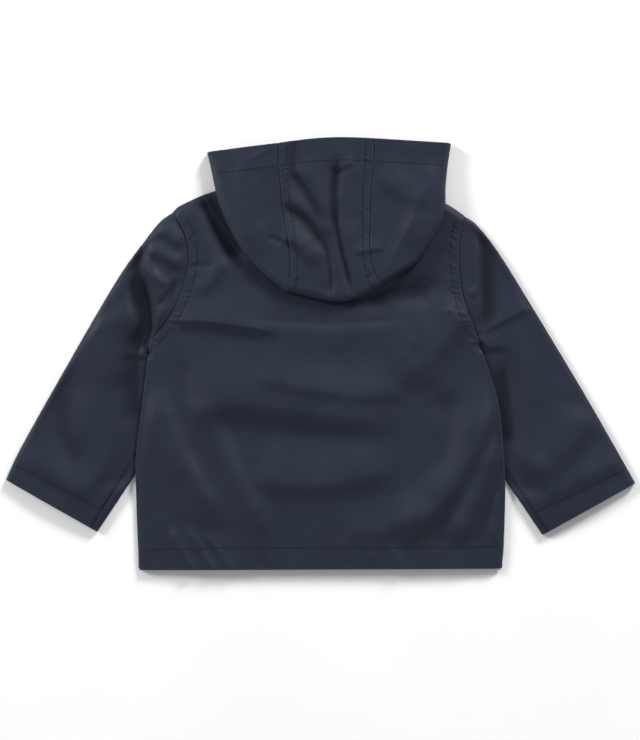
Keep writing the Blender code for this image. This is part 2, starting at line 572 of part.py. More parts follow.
def hood_seam(side, wall_in):
    """The hood seam of one side, from the face edge over the crown to the nape.

    It gives the seam's spots, and how deep inside the folded rim each lies, above it and then below it.
    """
    table = HOOD_LEFT_SECTIONS if side == "left" else HOOD_RIGHT_SECTIONS
    seam, rim, neck, _ = read_sections(table, HOOD_ROWS)
    over_length = np.linalg.norm(seam[-1] - rim[-1])
    under_length = np.linalg.norm(neck[-1] - rim[-1])
    over, under = hood_path(over_length, under_length, wall_in)
    last = rim[-1] + (seam[-1] - rim[-1]) * over[1:, None] / over_length
    hidden = rim[-1] + (neck[-1] - rim[-1]) * under[:, None] / under_length
    depths = np.linalg.norm(seam - rim[-1], axis=1)
    return np.concatenate([seam, last, hidden]), np.concatenate([depths, over[1:]]), under


def make_hood_side(side):
    sign = -1 if side == "left" else 1
    table = HOOD_LEFT_SECTIONS if side == "left" else HOOD_RIGHT_SECTIONS
    seam, rim, neck, (rim_rise, neck_rise) = read_sections(table, HOOD_ROWS)
    seam[:, 0] += sign * GAP / 2
    rim[-1, 0] += sign * GAP / 2
    neck[-1, 0] += sign * GAP / 2
    grids = []
    for wall_in in (0.0, HOOD_WALL):
        rows = []
        for a, r, n, rise_r, rise_n in zip(seam, rim, neck, rim_rise, neck_rise):
            over_length = np.linalg.norm(a - r)
            under_length = np.linalg.norm(n - r)
            over, under = hood_path(over_length, under_length, wall_in)
            top = r + (a - r) * over[:, None] / over_length
            low = r + (n - r) * under[:, None] / under_length
            crease = HOOD_REST * rise_r + HOOD_CREASE
            rise = rise_r + (rise_n - rise_r) * under / under_length
            rest = HOOD_REST * rise + front_floor(low, side) * (1 - rise)
            top_z = hood_over(top, over, crease, wall_in)
            low_z = hood_under(under, crease, rest, wall_in)
            rows.append(np.concatenate([lifted(top, top_z), lifted(low, low_z)]))
        grids.append(np.array(rows)[:, ::sign])
    wall("hood_" + side, *grids)


def make_hood_center():
    grids = []
    share = np.linspace(0, 1, HOOD_COLUMNS_CENTER)
    for wall_in in (0.0, HOOD_WALL):
        left, depth, under = hood_seam("left", wall_in)
        right, right_depth, right_under = hood_seam("right", wall_in)
        left[:, 0] += GAP / 2
        right[:, 0] -= GAP / 2
        u = share[None, :, None]
        spots = left[:, None] * (1 - u) + right[:, None] * u
        depth = depth[:, None] * (1 - share) + right_depth[:, None] * share
        under = under[:, None] * (1 - share) + right_under[:, None] * share
        count = len(depth)
        near_face = smoothstep((spots[:count, :, 1] - FACE_EDGE_START) / FACE_EDGE_RAMP)
        edge = FACE_EDGE_BOW * near_face * np.sin(np.pi * share)
        crown = CROWN_BOW * np.sin(np.pi * share**CROWN_SKEW)
        spots[:count, :, 1] += edge - crown * smoothstep((CROWN_BOW_REACH - depth) / CROWN_BOW_REACH)
        spots[count:, :, 1] -= crown * smoothstep((CROWN_BOW_REACH - under) / CROWN_BOW_REACH)
        crease = HOOD_REST + HOOD_CREASE
        top_z = hood_over(spots[:count], depth, crease, wall_in)
        low_z = hood_under(under, crease, HOOD_REST, wall_in)
        grids.append(lifted(spots, np.concatenate([top_z, low_z])))
    wall("hood_center", *grids)


def make_stud(number):
    """A round cap of a press stud, under the fronts' overlap and flat on the surface."""
    turn = 2 * math.pi * np.arange(STUD_SIDES) / STUD_SIDES
    y = STUD_TOP - STUD_PITCH * (number - 1)
    ring = np.stack([STUD_RADIUS * np.cos(turn), y + STUD_RADIUS * np.sin(turn)], axis=-1)
    points = np.concatenate([lifted(ring, np.full(STUD_SIDES, level)) for level in (STUD_HEIGHT, 0.0)])
    top = np.arange(STUD_SIDES)
    faces = grid_faces(np.array([top, top + STUD_SIDES]), closed=True)
    faces += [tuple(top), tuple(top[::-1] + STUD_SIDES)]
    object_from(f"stud_{number}", points, faces, STUD_NAVY, STUD_ROUGHNESS)


def build():
    for leftover in list(bpy.data.objects):
        bpy.data.objects.remove(leftover)
    make_back()
    for side in CURVES:
        make_front(side)
        make_sleeve(side)
        make_hood_side(side)
    make_hood_center()
    for number in range(1, STUD_COUNT + 1):
        make_stud(number)


build()
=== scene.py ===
"""A child's hooded raincoat of navy coated cloth. It lies face down, its hood turned down on its back.

Lengths are in millimetres here and become metres when a mesh is made. X runs from the wearer's left cuff to
the right one, Y from the hem to the neck, and Z up from the table that the coat lies on.
"""

import bpy
import numpy as np
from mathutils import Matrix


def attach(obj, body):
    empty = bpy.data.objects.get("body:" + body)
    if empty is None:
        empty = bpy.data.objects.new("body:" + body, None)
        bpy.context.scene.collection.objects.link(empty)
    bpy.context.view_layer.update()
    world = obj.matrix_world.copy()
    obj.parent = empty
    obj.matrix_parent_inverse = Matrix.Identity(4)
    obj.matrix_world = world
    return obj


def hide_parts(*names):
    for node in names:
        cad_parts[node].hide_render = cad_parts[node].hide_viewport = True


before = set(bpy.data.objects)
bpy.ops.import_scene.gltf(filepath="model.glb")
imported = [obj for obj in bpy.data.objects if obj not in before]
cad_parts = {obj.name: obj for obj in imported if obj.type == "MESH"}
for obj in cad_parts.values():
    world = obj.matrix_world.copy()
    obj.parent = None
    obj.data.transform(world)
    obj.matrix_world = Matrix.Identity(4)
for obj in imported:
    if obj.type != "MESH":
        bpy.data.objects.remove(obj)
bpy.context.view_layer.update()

# THE CAMERA. It looks straight down on the coat from 2.5 m, as from a stand over a packing table. It takes in
# 640 by 740 mm of the table.
CAMERA_HEIGHT = 2.5
VIEW_LENGTH = 0.740
VIEW_MIDDLE = (-0.0005, -0.0155)

camera = bpy.data.objects.new("camera", bpy.data.cameras.new("camera"))
camera.location = (*VIEW_MIDDLE, CAMERA_HEIGHT)
camera.data.sensor_width = 36.0
camera.data.lens = camera.data.sensor_width * CAMERA_HEIGHT / VIEW_LENGTH
bpy.context.scene.collection.objects.link(camera)
bpy.context.scene.camera = camera


# THE FRONTS. Two panels cut from coated cloth, which lie on the table under the back. They overlap at the
# centre, where press studs close them, and are sewn to the back at the shoulders and down the sides. Their
# hems and front edges are turned in and stitched with navy thread.
MM = 0.001
CLOTH = 1.1  # the coated cloth with its seam allowances pressed flat
DRAPED_CLOTH = 1.3  # the same, measured straight down through a sloping panel
GAP = 0.3
FRONT_INSET = 0.5  # the fronts lie this far inside the back's outline
PLACKET_HALF = 14.0  # they overlap this far past the centre line
PLACKET_RAMP = 8.0
STUD_HEIGHT = 0.6
TUCK_LIFT = 2 * CLOTH + 0.7  # the body's side edges rise this much where they lie over a sleeve
TUCK_SPAN = {"left": 124.0, "right": 139.0}  # down to this far below the underarm
TUCK_RAMP = 8.0
TUCK_FLAT = 8.0
TUCK_FADE = 32.0

SHOULDER_LEFT = ((-146.5, 142.5), (-138.0, 149.4), (-105.5, 163.0), (-70.5, 167.5))
SHOULDER_RIGHT = ((74.5, 164.5), (100.0, 160.5), (125.4, 150.3), (143.0, 138.5))
FRONT_NECK_LEFT = ((-70.5, 167.5), (-45.0, 155.0), (-20.0, 142.5), (0.0, 139.0), (PLACKET_HALF, 139.0))
FRONT_NECK_RIGHT = ((-PLACKET_HALF, 139.0), (0.0, 139.0), (22.0, 142.0), (48.0, 153.5), (74.5, 164.5))
ARMHOLE_LEFT = (
    (-146.5, 142.5), (-134.5, 119.5), (-130.9, 94.9), (-136.0, 68.8), (-145.9, 44.5), (-160.5, 23.5),
    (-168.6, 14.0), (-172.0, 1.5),
)
ARMHOLE_RIGHT = (
    (143.0, 138.5), (138.6, 116.0), (137.7, 97.9), (140.0, 67.5), (145.3, 44.5), (153.0, 26.0), (159.5, 8.5),
)
SIDE_LEFT = (
    (-172.0, 1.5), (-177.9, -48.5), (-184.2, -102.5), (-184.0, -145.0), (-182.9, -180.0), (-180.9, -215.3),
)
SIDE_RIGHT = (
    (159.5, 8.5), (177.3, -47.5), (183.6, -109.5), (184.3, -150.0), (182.6, -198.5), (179.5, -213.8),
)

STITCH_PITCH = 3.4
STITCH_LENGTH = 2.0
THREAD_RADIUS = 0.42
STITCH_RINGS = (
    # place along the stitch from -1 to 1, height over the cloth, share of the thread's radius
    (-1.0, -0.16, 0.55), (-0.5, 0.14, 1.0), (0.5, 0.14, 1.0), (1.0, -0.16, 0.55),
)
UNDER_STITCH_RISE = 0.56  # on a lower face, so that no thread reaches below the table's top
STITCH_GROOVE = 0.2  # a row of stitches draws the cloth in this deep
STITCH_GROOVE_HALF = 0.9
FRONT_GROOVE = 0.3
FRONT_HEM_STITCH = 22.0
PLACKET_STITCH = 22.0

FINE_EDGE = (0.0, 0.1, 0.3, 0.6, 1.0, 1.6, 2.4)
FRONT_SIDE_PLACES = (*FINE_EDGE, 4.0, 6.0, 8.0, 11.0, 14.0, 17.0, 20.0)
FRONT_PLACKET_PLACES = (*FINE_EDGE, 6.0, 12.0, 18.0, 21.0, 22.0, *np.arange(23.0, 45.0, 3.0))
FRONT_HEM_PLACES = (*FINE_EDGE, 12.0, 20.0, 21.2, 22.0, 22.8, 24.0)
FRONT_COLUMNS = 26
FRONT_ROWS_ABOVE = 56
FRONT_ROWS_BELOW = 66
FRONT_SIDE_LENGTH = 215.0
ARMHOLE_LENGTH = 155.0
EDGE_ROUND = 0.6  # a cut edge thins over this width
EDGE_THIN = 0.12  # to this share of the cloth
EDGE_WEAR_REACH = 1.5  # and is rubbed a little further in


def smoothstep(value):
    """0 to 1 with soft ends."""
    value = np.clip(value, 0, 1)
    return value * value * (3 - 2 * value)


def rounded(distance, roll):
    """A quarter of an ellipse: 0 at the edge, 1 from roll inwards."""
    return np.sqrt(1 - (1 - np.clip(distance / roll, 0, 1)) ** 2)


def reach_of(line):
    """How far along a line of points each of them lies."""
    steps = np.linalg.norm(np.diff(line, axis=0), axis=-1)
    return np.concatenate([np.zeros_like(steps[:1]), np.cumsum(steps, axis=0)])


class Curve:
    """A smooth curve through points in the plane, read by the share of its length."""

    def __init__(self, points, corners=()):
        points = np.array(points, float)
        cuts = [0, *corners, len(points) - 1]
        runs = [self.smooth(points[a:b + 1]) for a, b in zip(cuts, cuts[1:])]
        self.line = np.concatenate([runs[0]] + [run[1:] for run in runs[1:]])
        self.reach = reach_of(self.line)
        self.length = self.reach[-1]

    @staticmethod
    def smooth(points, steps=12):
        """Catmull-Rom points, the ends drawn out straight."""
        ends = [2 * points[0] - points[1]], [2 * points[-1] - points[-2]]
        padded = np.concatenate([ends[0], points, ends[1]])
        share = np.linspace(0, 1, steps, endpoint=False)[:, None]
        runs = []
        for before, start, end, after in zip(padded, padded[1:], padded[2:], padded[3:]):
            bend = 2 * before - 5 * start + 4 * end - after
            twist = 3 * (start - end) + after - before
            runs.append(0.5 * (2 * start + (end - before) * share + bend * share**2 + twist * share**3))
        return np.concatenate([*runs, points[-1:]])

    def at(self, share):
        reach = np.asarray(share) * self.length
        return np.stack([np.interp(reach, self.reach, axis) for axis in self.line.T], axis=-1)

    def beside(self, distance):
        """The line that runs this far to the left of the curve."""
        step = np.gradient(self.line, axis=0)
        step /= np.linalg.norm(step, axis=1)[:, None]
        return self.line + distance * np.stack([-step[:, 1], step[:, 0]], axis=-1)

    def foot(self, spots):
        """For each spot: its distance from the curve, and how far along the curve its nearest point lies."""
        flat = np.asarray(spots, float).reshape(-1, 2)
        along = np.diff(self.line, axis=0)
        size = (along**2).sum(-1)
        found = np.empty((2, len(flat)))
        for first in range(0, len(flat), 4000):
            away = flat[first:first + 4000, None] - self.line[:-1]
            part = np.clip((away * along).sum(-1) / size, 0, 1)
            apart = ((away - part[..., None] * along) ** 2).sum(-1)
            nearest = apart.argmin(-1)
            pick = np.arange(len(nearest)), nearest
            found[0, first:first + 4000] = np.sqrt(apart[pick])
            found[1, first:first + 4000] = self.reach[nearest] + part[pick] * np.sqrt(size[nearest])
        return found.reshape(2, *np.shape(spots)[:-1])

    def distance(self, spots):
        return self.foot(spots)[0]


def patch(sides, across, down):
    """Spots of a panel between four curves (top, bottom, left, right), by their shares across and down."""
    top, bottom, left, right = sides
    across, down = np.broadcast_arrays(across, down)
    u = across[..., None]
    v = down[..., None]
    ruled = (1 - v) * top.at(across) + v * bottom.at(across) + (1 - u) * left.at(down) + u * right.at(down)
    corners = (1 - u) * (1 - v) * top.at(0) + u * (1 - v) * top.at(1)
    corners += (1 - u) * v * bottom.at(0) + u * v * bottom.at(1)
    return ruled - corners


def places(length, near_start, near_end, count):
    """Places from 0 to length: fixed ones near both ends, and count even steps between them."""
    first = np.array(near_start)
    last = length - np.array(near_end)[::-1]
    middle = np.linspace(first[-1], last[0], count + 1)[1:-1]
    return np.concatenate([first, middle, last])


def panel_grid(above, below, shares_above, shares_below, columns):
    """Spots of a body panel: one patch beside the armhole and one below it, which share a row."""
    blocks = []
    for sides, shares in ((above, shares_above), (below, shares_below[1:])):
        widths = np.linalg.norm(sides[2].at(shares) - sides[3].at(shares), axis=1)
        across = np.array([columns(width) / width for width in widths])
        blocks.append(patch(sides, across, shares[:, None]))
    return np.concatenate(blocks)


def lifted(spots, level):
    return np.concatenate([spots, np.asarray(level)[..., None]], axis=-1)


def grid_faces(index, closed=False):
    """Quads between neighbouring rows and columns of a grid of vertex numbers."""
    if closed:
        index = np.concatenate([index, index[:, :1]], axis=1)
    corners = index[:-1, :-1], index[1:, :-1], index[1:, 1:], index[:-1, 1:]
    return np.stack(corners, axis=-1).reshape(-1, 4)


def bar_faces(rings):
    """Faces of a bar of thread or cloth, from the vertex numbers of its rings: its walls and both ends."""
    fan = np.array([(0, first, first + 1, first + 2) for first in range(1, rings.shape[1] - 1, 2)])
    return np.concatenate([grid_faces(rings[::-1], closed=True), rings[0][fan], rings[-1][fan[:, ::-1]]])


def mesh_from(name, points, faces, material):
    """A smooth piece from points in millimetres and a list of faces."""
    mesh = bpy.data.meshes.new(name)
    mesh.from_pydata((points * MM).tolist(), [], faces)
    mesh.shade_smooth()
    mesh.materials.append(material)
    piece = bpy.data.objects.new(name, mesh)
    bpy.context.scene.collection.objects.link(piece)
    return piece


def cloth_piece(name, over, under, material, closed=False, depth=None, worn_and_highlit=0.0):
    """A sheet of cloth between two grids of points. Its edges thin to a small round.

    closed joins its last column to its first, as in a sleeve. depth gives painted shade, deepest in the
    troughs, and the last argument adds rubbing and painted highlight besides the edges, as on the hood's rim.
    """
    down = reach_of(over)
    edge = np.minimum(down, down[-1] - down)
    if not closed:
        across = reach_of(over.transpose(1, 0, 2)).T
        edge = np.minimum(edge, np.minimum(across, across[:, -1:] - across))
    middle = (over + under) / 2
    half = (over - under) / 2 * (EDGE_THIN + (1 - EDGE_THIN) * rounded(edge, EDGE_ROUND))[..., None]
    rows, columns = over.shape[:2]
    points = np.concatenate([(middle + half).reshape(-1, 3), (middle - half).reshape(-1, 3)])
    top = np.arange(rows * columns).reshape(rows, columns)
    low = top + rows * columns
    faces = [grid_faces(top, closed), grid_faces(low, closed)[:, ::-1]]
    if closed:
        rims = (np.stack([low[0], top[0]]), np.stack([top[-1], low[-1]]))
    else:
        loop = np.concatenate([top[0], top[1:, -1], top[-1, -2::-1], top[-2:0:-1, 0]])
        rims = (np.stack([loop + rows * columns, loop]),)
    faces += [grid_faces(rim, closed=True) for rim in rims]
    piece = mesh_from(name, points, np.concatenate(faces).tolist(), material)
    # Paler where rubbed at the cut edges; the extra share given adds the hood rim's painted highlight.
    wear_and_highlight = np.maximum(np.exp(-edge / EDGE_WEAR_REACH), worn_and_highlit)
    depth = np.zeros((rows, columns)) if depth is None else depth
    for label, share in (("wear_and_highlight", wear_and_highlight), ("painted_shade", depth)):
        layer = piece.data.attributes.new(label, "FLOAT", "POINT")
        layer.data.foreach_set("value", np.tile(share.reshape(-1), 2).astype(np.float32))
    return piece


def sewing(name, lines, material):
    """Rows of lockstitch. Each stitch is a short bar of thread, whose ends dip into the cloth.

    lines gives each row's points on the cloth, and 1 where it lies on an upper face or -1 on a lower one.
    """
    turn = 2 * np.pi * np.arange(6) / 6
    points = []
    for line, up in lines:
        reach = reach_of(line)
        middle = np.arange(STITCH_PITCH, reach[-1] - STITCH_PITCH / 2, STITCH_PITCH)

        def on_line(shift):
            return np.stack([np.interp(middle + shift, reach, axis) for axis in line.T], axis=-1)

        step = on_line(STITCH_LENGTH / 2) - on_line(-STITCH_LENGTH / 2)
        step /= np.linalg.norm(step, axis=1)[:, None]
        side = np.cross([0.0, 0.0, up], step)
        rings = []
        for place, rise, size in STITCH_RINGS:
            center = on_line(place * STITCH_LENGTH / 2)
            center[:, 2] += up * rise
            round_it = side[:, None] * np.cos(turn)[:, None] + np.array([0, 0, up]) * np.sin(turn)[:, None]
            rings.append(center[:, None] + THREAD_RADIUS * size * round_it)
        points.append(np.stack(rings, axis=1))
    points = np.concatenate(points)
    index = np.arange(points.size // 3).reshape(points.shape[:3])
    faces = np.concatenate([bar_faces(bar) for bar in index])
    return mesh_from(name, points.reshape(-1, 3), faces.tolist(), material)


CURVES = {
    "left": {"shoulder": Curve(SHOULDER_LEFT), "armhole": Curve(ARMHOLE_LEFT), "side": Curve(SIDE_LEFT)},
    "right": {"shoulder": Curve(SHOULDER_RIGHT), "armhole": Curve(ARMHOLE_RIGHT), "side": Curve(SIDE_RIGHT)},
}


def seam_curve(side, name, inward):
    """A seam line of the coat moved towards the body, or away from it if inward is less than 0."""
    line = CURVES[side][name].line.copy()
    line[:, 0] += inward if side == "left" else -inward
    return Curve(line[::4])


def tuck(spots, side):
    """0 to 1: where the body's side edge lies over the sleeve beside it."""
    side_curve = CURVES[side]["side"]
    below = side_curve.line[0, 1] - spots[..., 1]
    along = smoothstep(below / TUCK_RAMP)
    along *= 1 - smoothstep((below - TUCK_SPAN[side]) / TUCK_FADE)
    return along * (1 - smoothstep((side_curve.distance(spots) - TUCK_FLAT) / (TUCK_FADE - TUCK_FLAT)))


def overlap_rise(spots):
    """How far the right front stands off the table along the centre, over the studs and the left front."""
    past = PLACKET_HALF + 2 * PLACKET_RAMP - np.abs(spots[..., 0])
    return (STUD_HEIGHT + CLOTH + 2 * GAP) * smoothstep(past / (1.5 * PLACKET_RAMP))


def front_floor(spots, side):
    """Lower face of a front: flat, but for the overlap at the centre and the tuck over the sleeve."""
    if side == "left":
        rise = (STUD_HEIGHT + GAP) * smoothstep((spots[..., 0] + PLACKET_HALF + PLACKET_RAMP) / PLACKET_RAMP)
    else:
        inside = np.where(spots[..., 0] < 0, 0.0, spots[..., 0])
        rise = overlap_rise(np.stack([inside, spots[..., 1]], axis=-1))
    return rise + TUCK_LIFT * tuck(spots, side)


class Finish:
    """A node material, built up from one Principled shader."""

    def __init__(self, name):
        self.material = bpy.data.materials.new(name)
        self.material.use_nodes = True
        self.tree = self.material.node_tree
        self.shader = self.tree.nodes["Principled BSDF"]
        self.place = self.tree.nodes.new("ShaderNodeTexCoord").outputs["Object"]

    def noise(self, size, detail=2.0, rough=0.5):
        """Noise whose lumps are about size millimetres across."""
        node = self.tree.nodes.new("ShaderNodeTexNoise")
        node.inputs["Scale"].default_value = 1000 / size
        node.inputs["Detail"].default_value = detail
        node.inputs["Roughness"].default_value = rough
        self.tree.links.new(self.place, node.inputs["Vector"])
        return node.outputs["Fac"]

    def span(self, value, low, high, start=0.3, end=0.7):
        """The value stretched from start..end to low..high."""
        node = self.tree.nodes.new("ShaderNodeMapRange")
        for key, number in (("From Min", start), ("From Max", end), ("To Min", low), ("To Max", high)):
            node.inputs[key].default_value = number
        self.tree.links.new(value, node.inputs["Value"])
        return node.outputs["Result"]

    def sum(self, first, second):
        node = self.tree.nodes.new("ShaderNodeMath")
        node.operation = "ADD"
        self.tree.links.new(first, node.inputs[0])
        self.tree.links.new(second, node.inputs[1])
        return node.outputs[0]

    def mix(self, share, dark, light):
        """From dark to light by the share, each a colour or a socket."""
        node = self.tree.nodes.new("ShaderNodeMix")
        node.data_type = "RGBA"
        for socket, color in ((node.inputs["A"], dark), (node.inputs["B"], light)):
            if isinstance(color, tuple):
                socket.default_value = (*color, 1.0)
            else:
                self.tree.links.new(color, socket)
        self.tree.links.new(share, node.inputs["Factor"])
        return node.outputs["Result"]

    def attribute(self, name):
        node = self.tree.nodes.new("ShaderNodeAttribute")
        node.attribute_name = name
        return node.outputs["Fac"]

    def bump(self, height, depth, onto=None):
        """Relief whose full height is depth millimetres."""
        node = self.tree.nodes.new("ShaderNodeBump")
        node.inputs["Distance"].default_value = depth * MM
        self.tree.links.new(height, node.inputs["Height"])
        if onto is not None:
            self.tree.links.new(onto, node.inputs["Normal"])
        return node.outputs["Normal"]

    def set(self, **sockets):
        """Fill the shader's sockets with numbers or with other nodes' outputs. Gives the material."""
        for key, value in sockets.items():
            socket = self.shader.inputs[key.replace("_", " ")]
            if isinstance(value, bpy.types.NodeSocket):
                self.tree.links.new(value, socket)
            else:
                socket.default_value = value
        return self.material


CLOTH_DARK = (0.0154, 0.0201, 0.033)
CLOTH_LIGHT = (0.0183, 0.0237, 0.0383)
# paler tone for rubbed cloth, and for the painted highlight on the hood's rim and the loops' edges
CLOTH_RUBBED_AND_HIGHLIT = (0.029, 0.036, 0.053)
CLOTH_PAINTED_SHADE = (0.0062, 0.0082, 0.0140)  # painted shade, deepest in the troughs, seams and loop openings

# Satin navy coating on a fine cotton weave: a faintly cloudy tone, lighter where it is rubbed and where a
# painted highlight lies on the hood's rim and the loops' edges, and darker under painted shade in the folds.
coated = Finish("navy_coated_cloth")
tone = coated.mix(coated.span(coated.noise(36.0, 4.0), 0.0, 1.0), CLOTH_DARK, CLOTH_LIGHT)
# Paler where rubbed, and with a painted highlight along the hood's rim and the loops' edges.
rub_and_highlight = coated.span(coated.attribute("wear_and_highlight"), 0.0, 0.7, 0.25, 1.0)
tone = coated.mix(rub_and_highlight, tone, CLOTH_RUBBED_AND_HIGHLIT)
# Painted shade in the troughs, along the underarm seams and in the loops' openings.
tone = coated.mix(coated.attribute("painted_shade"), tone, CLOTH_PAINTED_SHADE)
cloudy = coated.span(coated.noise(24.0, 3.0), 0.52, 0.60)
speckled = coated.span(coated.noise(1.4, 2.0), -0.02, 0.04)
swell = coated.bump(coated.noise(9.0, 3.0, 0.55), 0.10)
weave = coated.bump(coated.noise(0.75, 2.0, 0.6), 0.05, swell)
navy_coated_cloth = coated.set(
    Base_Color=tone, Roughness=coated.sum(cloudy, speckled), Normal=weave, Specular_IOR_Level=0.12,
)

# Navy thread, darker than the cloth: painted shade of the stitch holes and the grooves they lie in.
THREAD_DARK_SHADED = (0.005, 0.0065, 0.011)
THREAD_LIGHT_SHADED = (0.009, 0.012, 0.020)

twist = Finish("navy_thread")
navy_thread = twist.set(
    Base_Color=twist.mix(twist.span(twist.noise(3.0), 0.0, 1.0), THREAD_DARK_SHADED, THREAD_LIGHT_SHADED),
    Roughness=twist.span(twist.noise(1.0), 0.7, 0.85),
    Normal=twist.bump(twist.noise(0.35, 2.0), 0.06),
    Specular_IOR_Level=0.15,
)


def make_front(side):
    """A front: its outline is the back's, a little inside it, as far as the overlap at the centre."""
    sign = 1 if side == "left" else -1
    armhole = seam_curve(side, "armhole", GAP / 2)
    neck = FRONT_NECK_LEFT if side == "left" else FRONT_NECK_RIGHT[::-1]
    shoulder = SHOULDER_LEFT if side == "left" else SHOULDER_RIGHT[::-1]
    outline = SIDE_LEFT if side == "left" else SIDE_RIGHT
    edge_x = sign * PLACKET_HALF
    hem_y = SIDE_LEFT[-1][1] + 4 * FRONT_INSET
    chest_end = (edge_x, armhole.line[-1, 1])
    hem_end = (edge_x, hem_y)
    outline = [(x + sign * FRONT_INSET, y) for x, y in outline[:-1]]
    hem_start = (outline[-1][0] + sign * FRONT_INSET, hem_y)
    top = Curve([*shoulder, *neck[1:]], corners=(3,))
    chest = Curve([armhole.line[-1], chest_end])
    above = (top, chest, armhole, Curve([neck[-1], chest_end]))
    below = (chest, Curve([hem_start, hem_end]), Curve([*outline, hem_start]), Curve([chest_end, hem_end]))
    rows_above = places(ARMHOLE_LENGTH, FINE_EDGE, (0.0,), FRONT_ROWS_ABOVE) / ARMHOLE_LENGTH
    rows_below = places(FRONT_SIDE_LENGTH, (0.0,), FRONT_HEM_PLACES, FRONT_ROWS_BELOW) / FRONT_SIDE_LENGTH
    spots = panel_grid(
        above, below, rows_above, rows_below,
        lambda width: places(width, FRONT_SIDE_PLACES, FRONT_PLACKET_PLACES, FRONT_COLUMNS),
    )
    hem_groove = np.exp(-(((spots[..., 1] - hem_y - FRONT_HEM_STITCH) / STITCH_GROOVE_HALF) ** 2))
    placket_groove = np.exp(-((((spots[..., 0] - edge_x) * sign + PLACKET_STITCH) / STITCH_GROOVE_HALF) ** 2))
    groove = FRONT_GROOVE * np.maximum(hem_groove, placket_groove)
    level = front_floor(spots, side)
    over = lifted(spots, level + CLOTH - groove)[:, ::sign]
    under = lifted(spots, level + 1.2 * groove)[:, ::sign]
    panel = cloth_piece(f"front_{side}_cloth", over, under, navy_coated_cloth)
    hem_x = np.linspace(outline[-1][0] + 4 * sign, edge_x - 4 * sign, 60)
    hem_line = np.stack([hem_x, np.full_like(hem_x, hem_y + FRONT_HEM_STITCH)], axis=-1)
    placket_y = np.linspace(neck[-1][1] - 3, hem_y + 3, 90)
    placket_line = np.stack([np.full_like(placket_y, edge_x - sign * PLACKET_STITCH), placket_y], axis=-1)
    lines = []
    for line in (hem_line, placket_line):
        lines.append((lifted(line, front_floor(line, side) + UNDER_STITCH_RISE), -1))
    stitches = sewing(f"front_{side}_stitching", lines, navy_thread)
    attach(panel, "root")
    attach(stitches, "root")
    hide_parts("front_" + side)
    return panel, stitches


for side, flat, area in (("left", (0.199, 0.385), 0.0660), ("right", (0.199, 0.382), 0.0655)):
    panel, stitches = make_front(side)


# THE PRESS STUDS. Five round caps of lacquered metal, 12 mm across, riveted through the left front. The right
# front covers them. They are closed, and lie flat on the table.
STUD_COUNT = 5
STUD_TOP = 118.0
STUD_PITCH = 70.0
STUD_PROFILE = (
    # radius, height, from near the crown down to the rim
    (2.6, 0.58), (4.2, 0.52), (5.3, 0.4), (5.9, 0.22), (6.0, 0.1), (5.85, 0.0),
)
STUD_SIDES = 48
LACQUER_DARK = (0.024, 0.029, 0.043)
LACQUER_LIGHT = (0.036, 0.043, 0.062)

cap = Finish("navy_stud")
navy_stud = cap.set(
    Base_Color=cap.mix(cap.span(cap.noise(2.0, 3.0), 0.0, 1.0), LACQUER_DARK, LACQUER_LIGHT),
    Roughness=cap.span(cap.noise(1.2), 0.28, 0.42),
    Normal=cap.bump(cap.noise(1.6, 3.0), 0.02),
    Coat_Weight=0.4,
)


def make_stud(number):
    """The cap: rings from the crown to the rim, closed by a fan above and one below."""
    turn = 2 * np.pi * np.arange(STUD_SIDES) / STUD_SIDES
    y = STUD_TOP - STUD_PITCH * (number - 1)
    rings = []
    for radius, level in STUD_PROFILE:
        ring = radius * np.stack([np.cos(turn), np.sin(turn)], axis=-1) + (0.0, y)
        rings.append(lifted(ring, np.full(STUD_SIDES, level)))
    rings = np.array(rings)
    index = np.arange(rings.size // 3).reshape(rings.shape[:2])
    points = np.concatenate([rings.reshape(-1, 3), [(0, y, STUD_HEIGHT), (0, y, 0)]])
    middle = index.size
    faces = grid_faces(index[::-1], closed=True).tolist()
    for ring, center, way in ((index[0], middle, 1), (index[-1], middle + 1, -1)):
        faces += [(a, b, center)[::way] for a, b in zip(ring.tolist(), np.roll(ring, -1).tolist())]
    return mesh_from(f"stud_{number}_cap", points, faces, navy_stud)


for number in range(1, STUD_COUNT + 1):
    stud = make_stud(number)
    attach(stud, "root")
    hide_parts(f"stud_{number}")


# THE BACK. One panel from the neck to the hem, of the same cloth, sewn to the fronts at the shoulders and
# sides. Its allowances are turned in and topstitched at the armholes, and its hem is turned up and stitched.
BACK_LEVEL = 6.0  # top face where the back lies smooth under the hood and at the armholes
BACK_LOFT = 1.8  # and how much higher it stands in the open, with air in the coat
BACK_LOFT_REACH = 60.0
SEAM_LEVEL = CLOTH + GAP + DRAPED_CLOTH
BACK_ROLL = 7.0
BACK_FOLDS_IN = 14.0
FLOOR_MARGIN = 1.05
HOOD_COVER_Y = 45.0  # the hood covers the back from here up at its middle, and from higher at its sides
HOOD_COVER_X = 12.0
HOOD_COVER_BEND = 0.0063
HOOD_COVER_FADE = 10.0
RIPPLE = 0.22  # height of the low uneven waves in the cloth
CRISP = 1.4  # power of a crease's slopes; a soft fold's is 2
PAINTED_SHADE_DEPTH = 2.4  # a trough gets painted shade from this deep
PAINTED_SHADE_RAMP = 3.4  # and its fullest painted shade this much deeper
ARMHOLE_STITCH = 8.0  # the topstitching runs this far in from the armhole seam
ARMHOLE_PUCKERS = 0.42
HEM_ALLOWANCE = 22.0
HEM_PUCKERS = 0.24
HEM_STITCH = ((-184.0, -195.6), (-141.5, -193.8), (-67.7, -192.3), (55.0, -192.8), (184.0, -191.7))
BACK_NECK = ((-70.5, 167.5), (-35.0, 163.5), (1.5, 161.5), (40.0, 162.0), (74.5, 164.5))
STRIP_PLACES = (*FINE_EDGE, *np.arange(3.3, 12.5, 0.95))
BACK_COLUMNS = 148
BACK_ROWS_ABOVE = 100
BACK_ROWS_BELOW = 88
BACK_SIDE_LENGTH = 220.0
BACK_HEM_PLACES = (*FINE_EDGE, *np.arange(4.0, 19.0, 1.6), *np.arange(20.0, 27.1, 0.55))
PUCKER_PITCH = 8.0

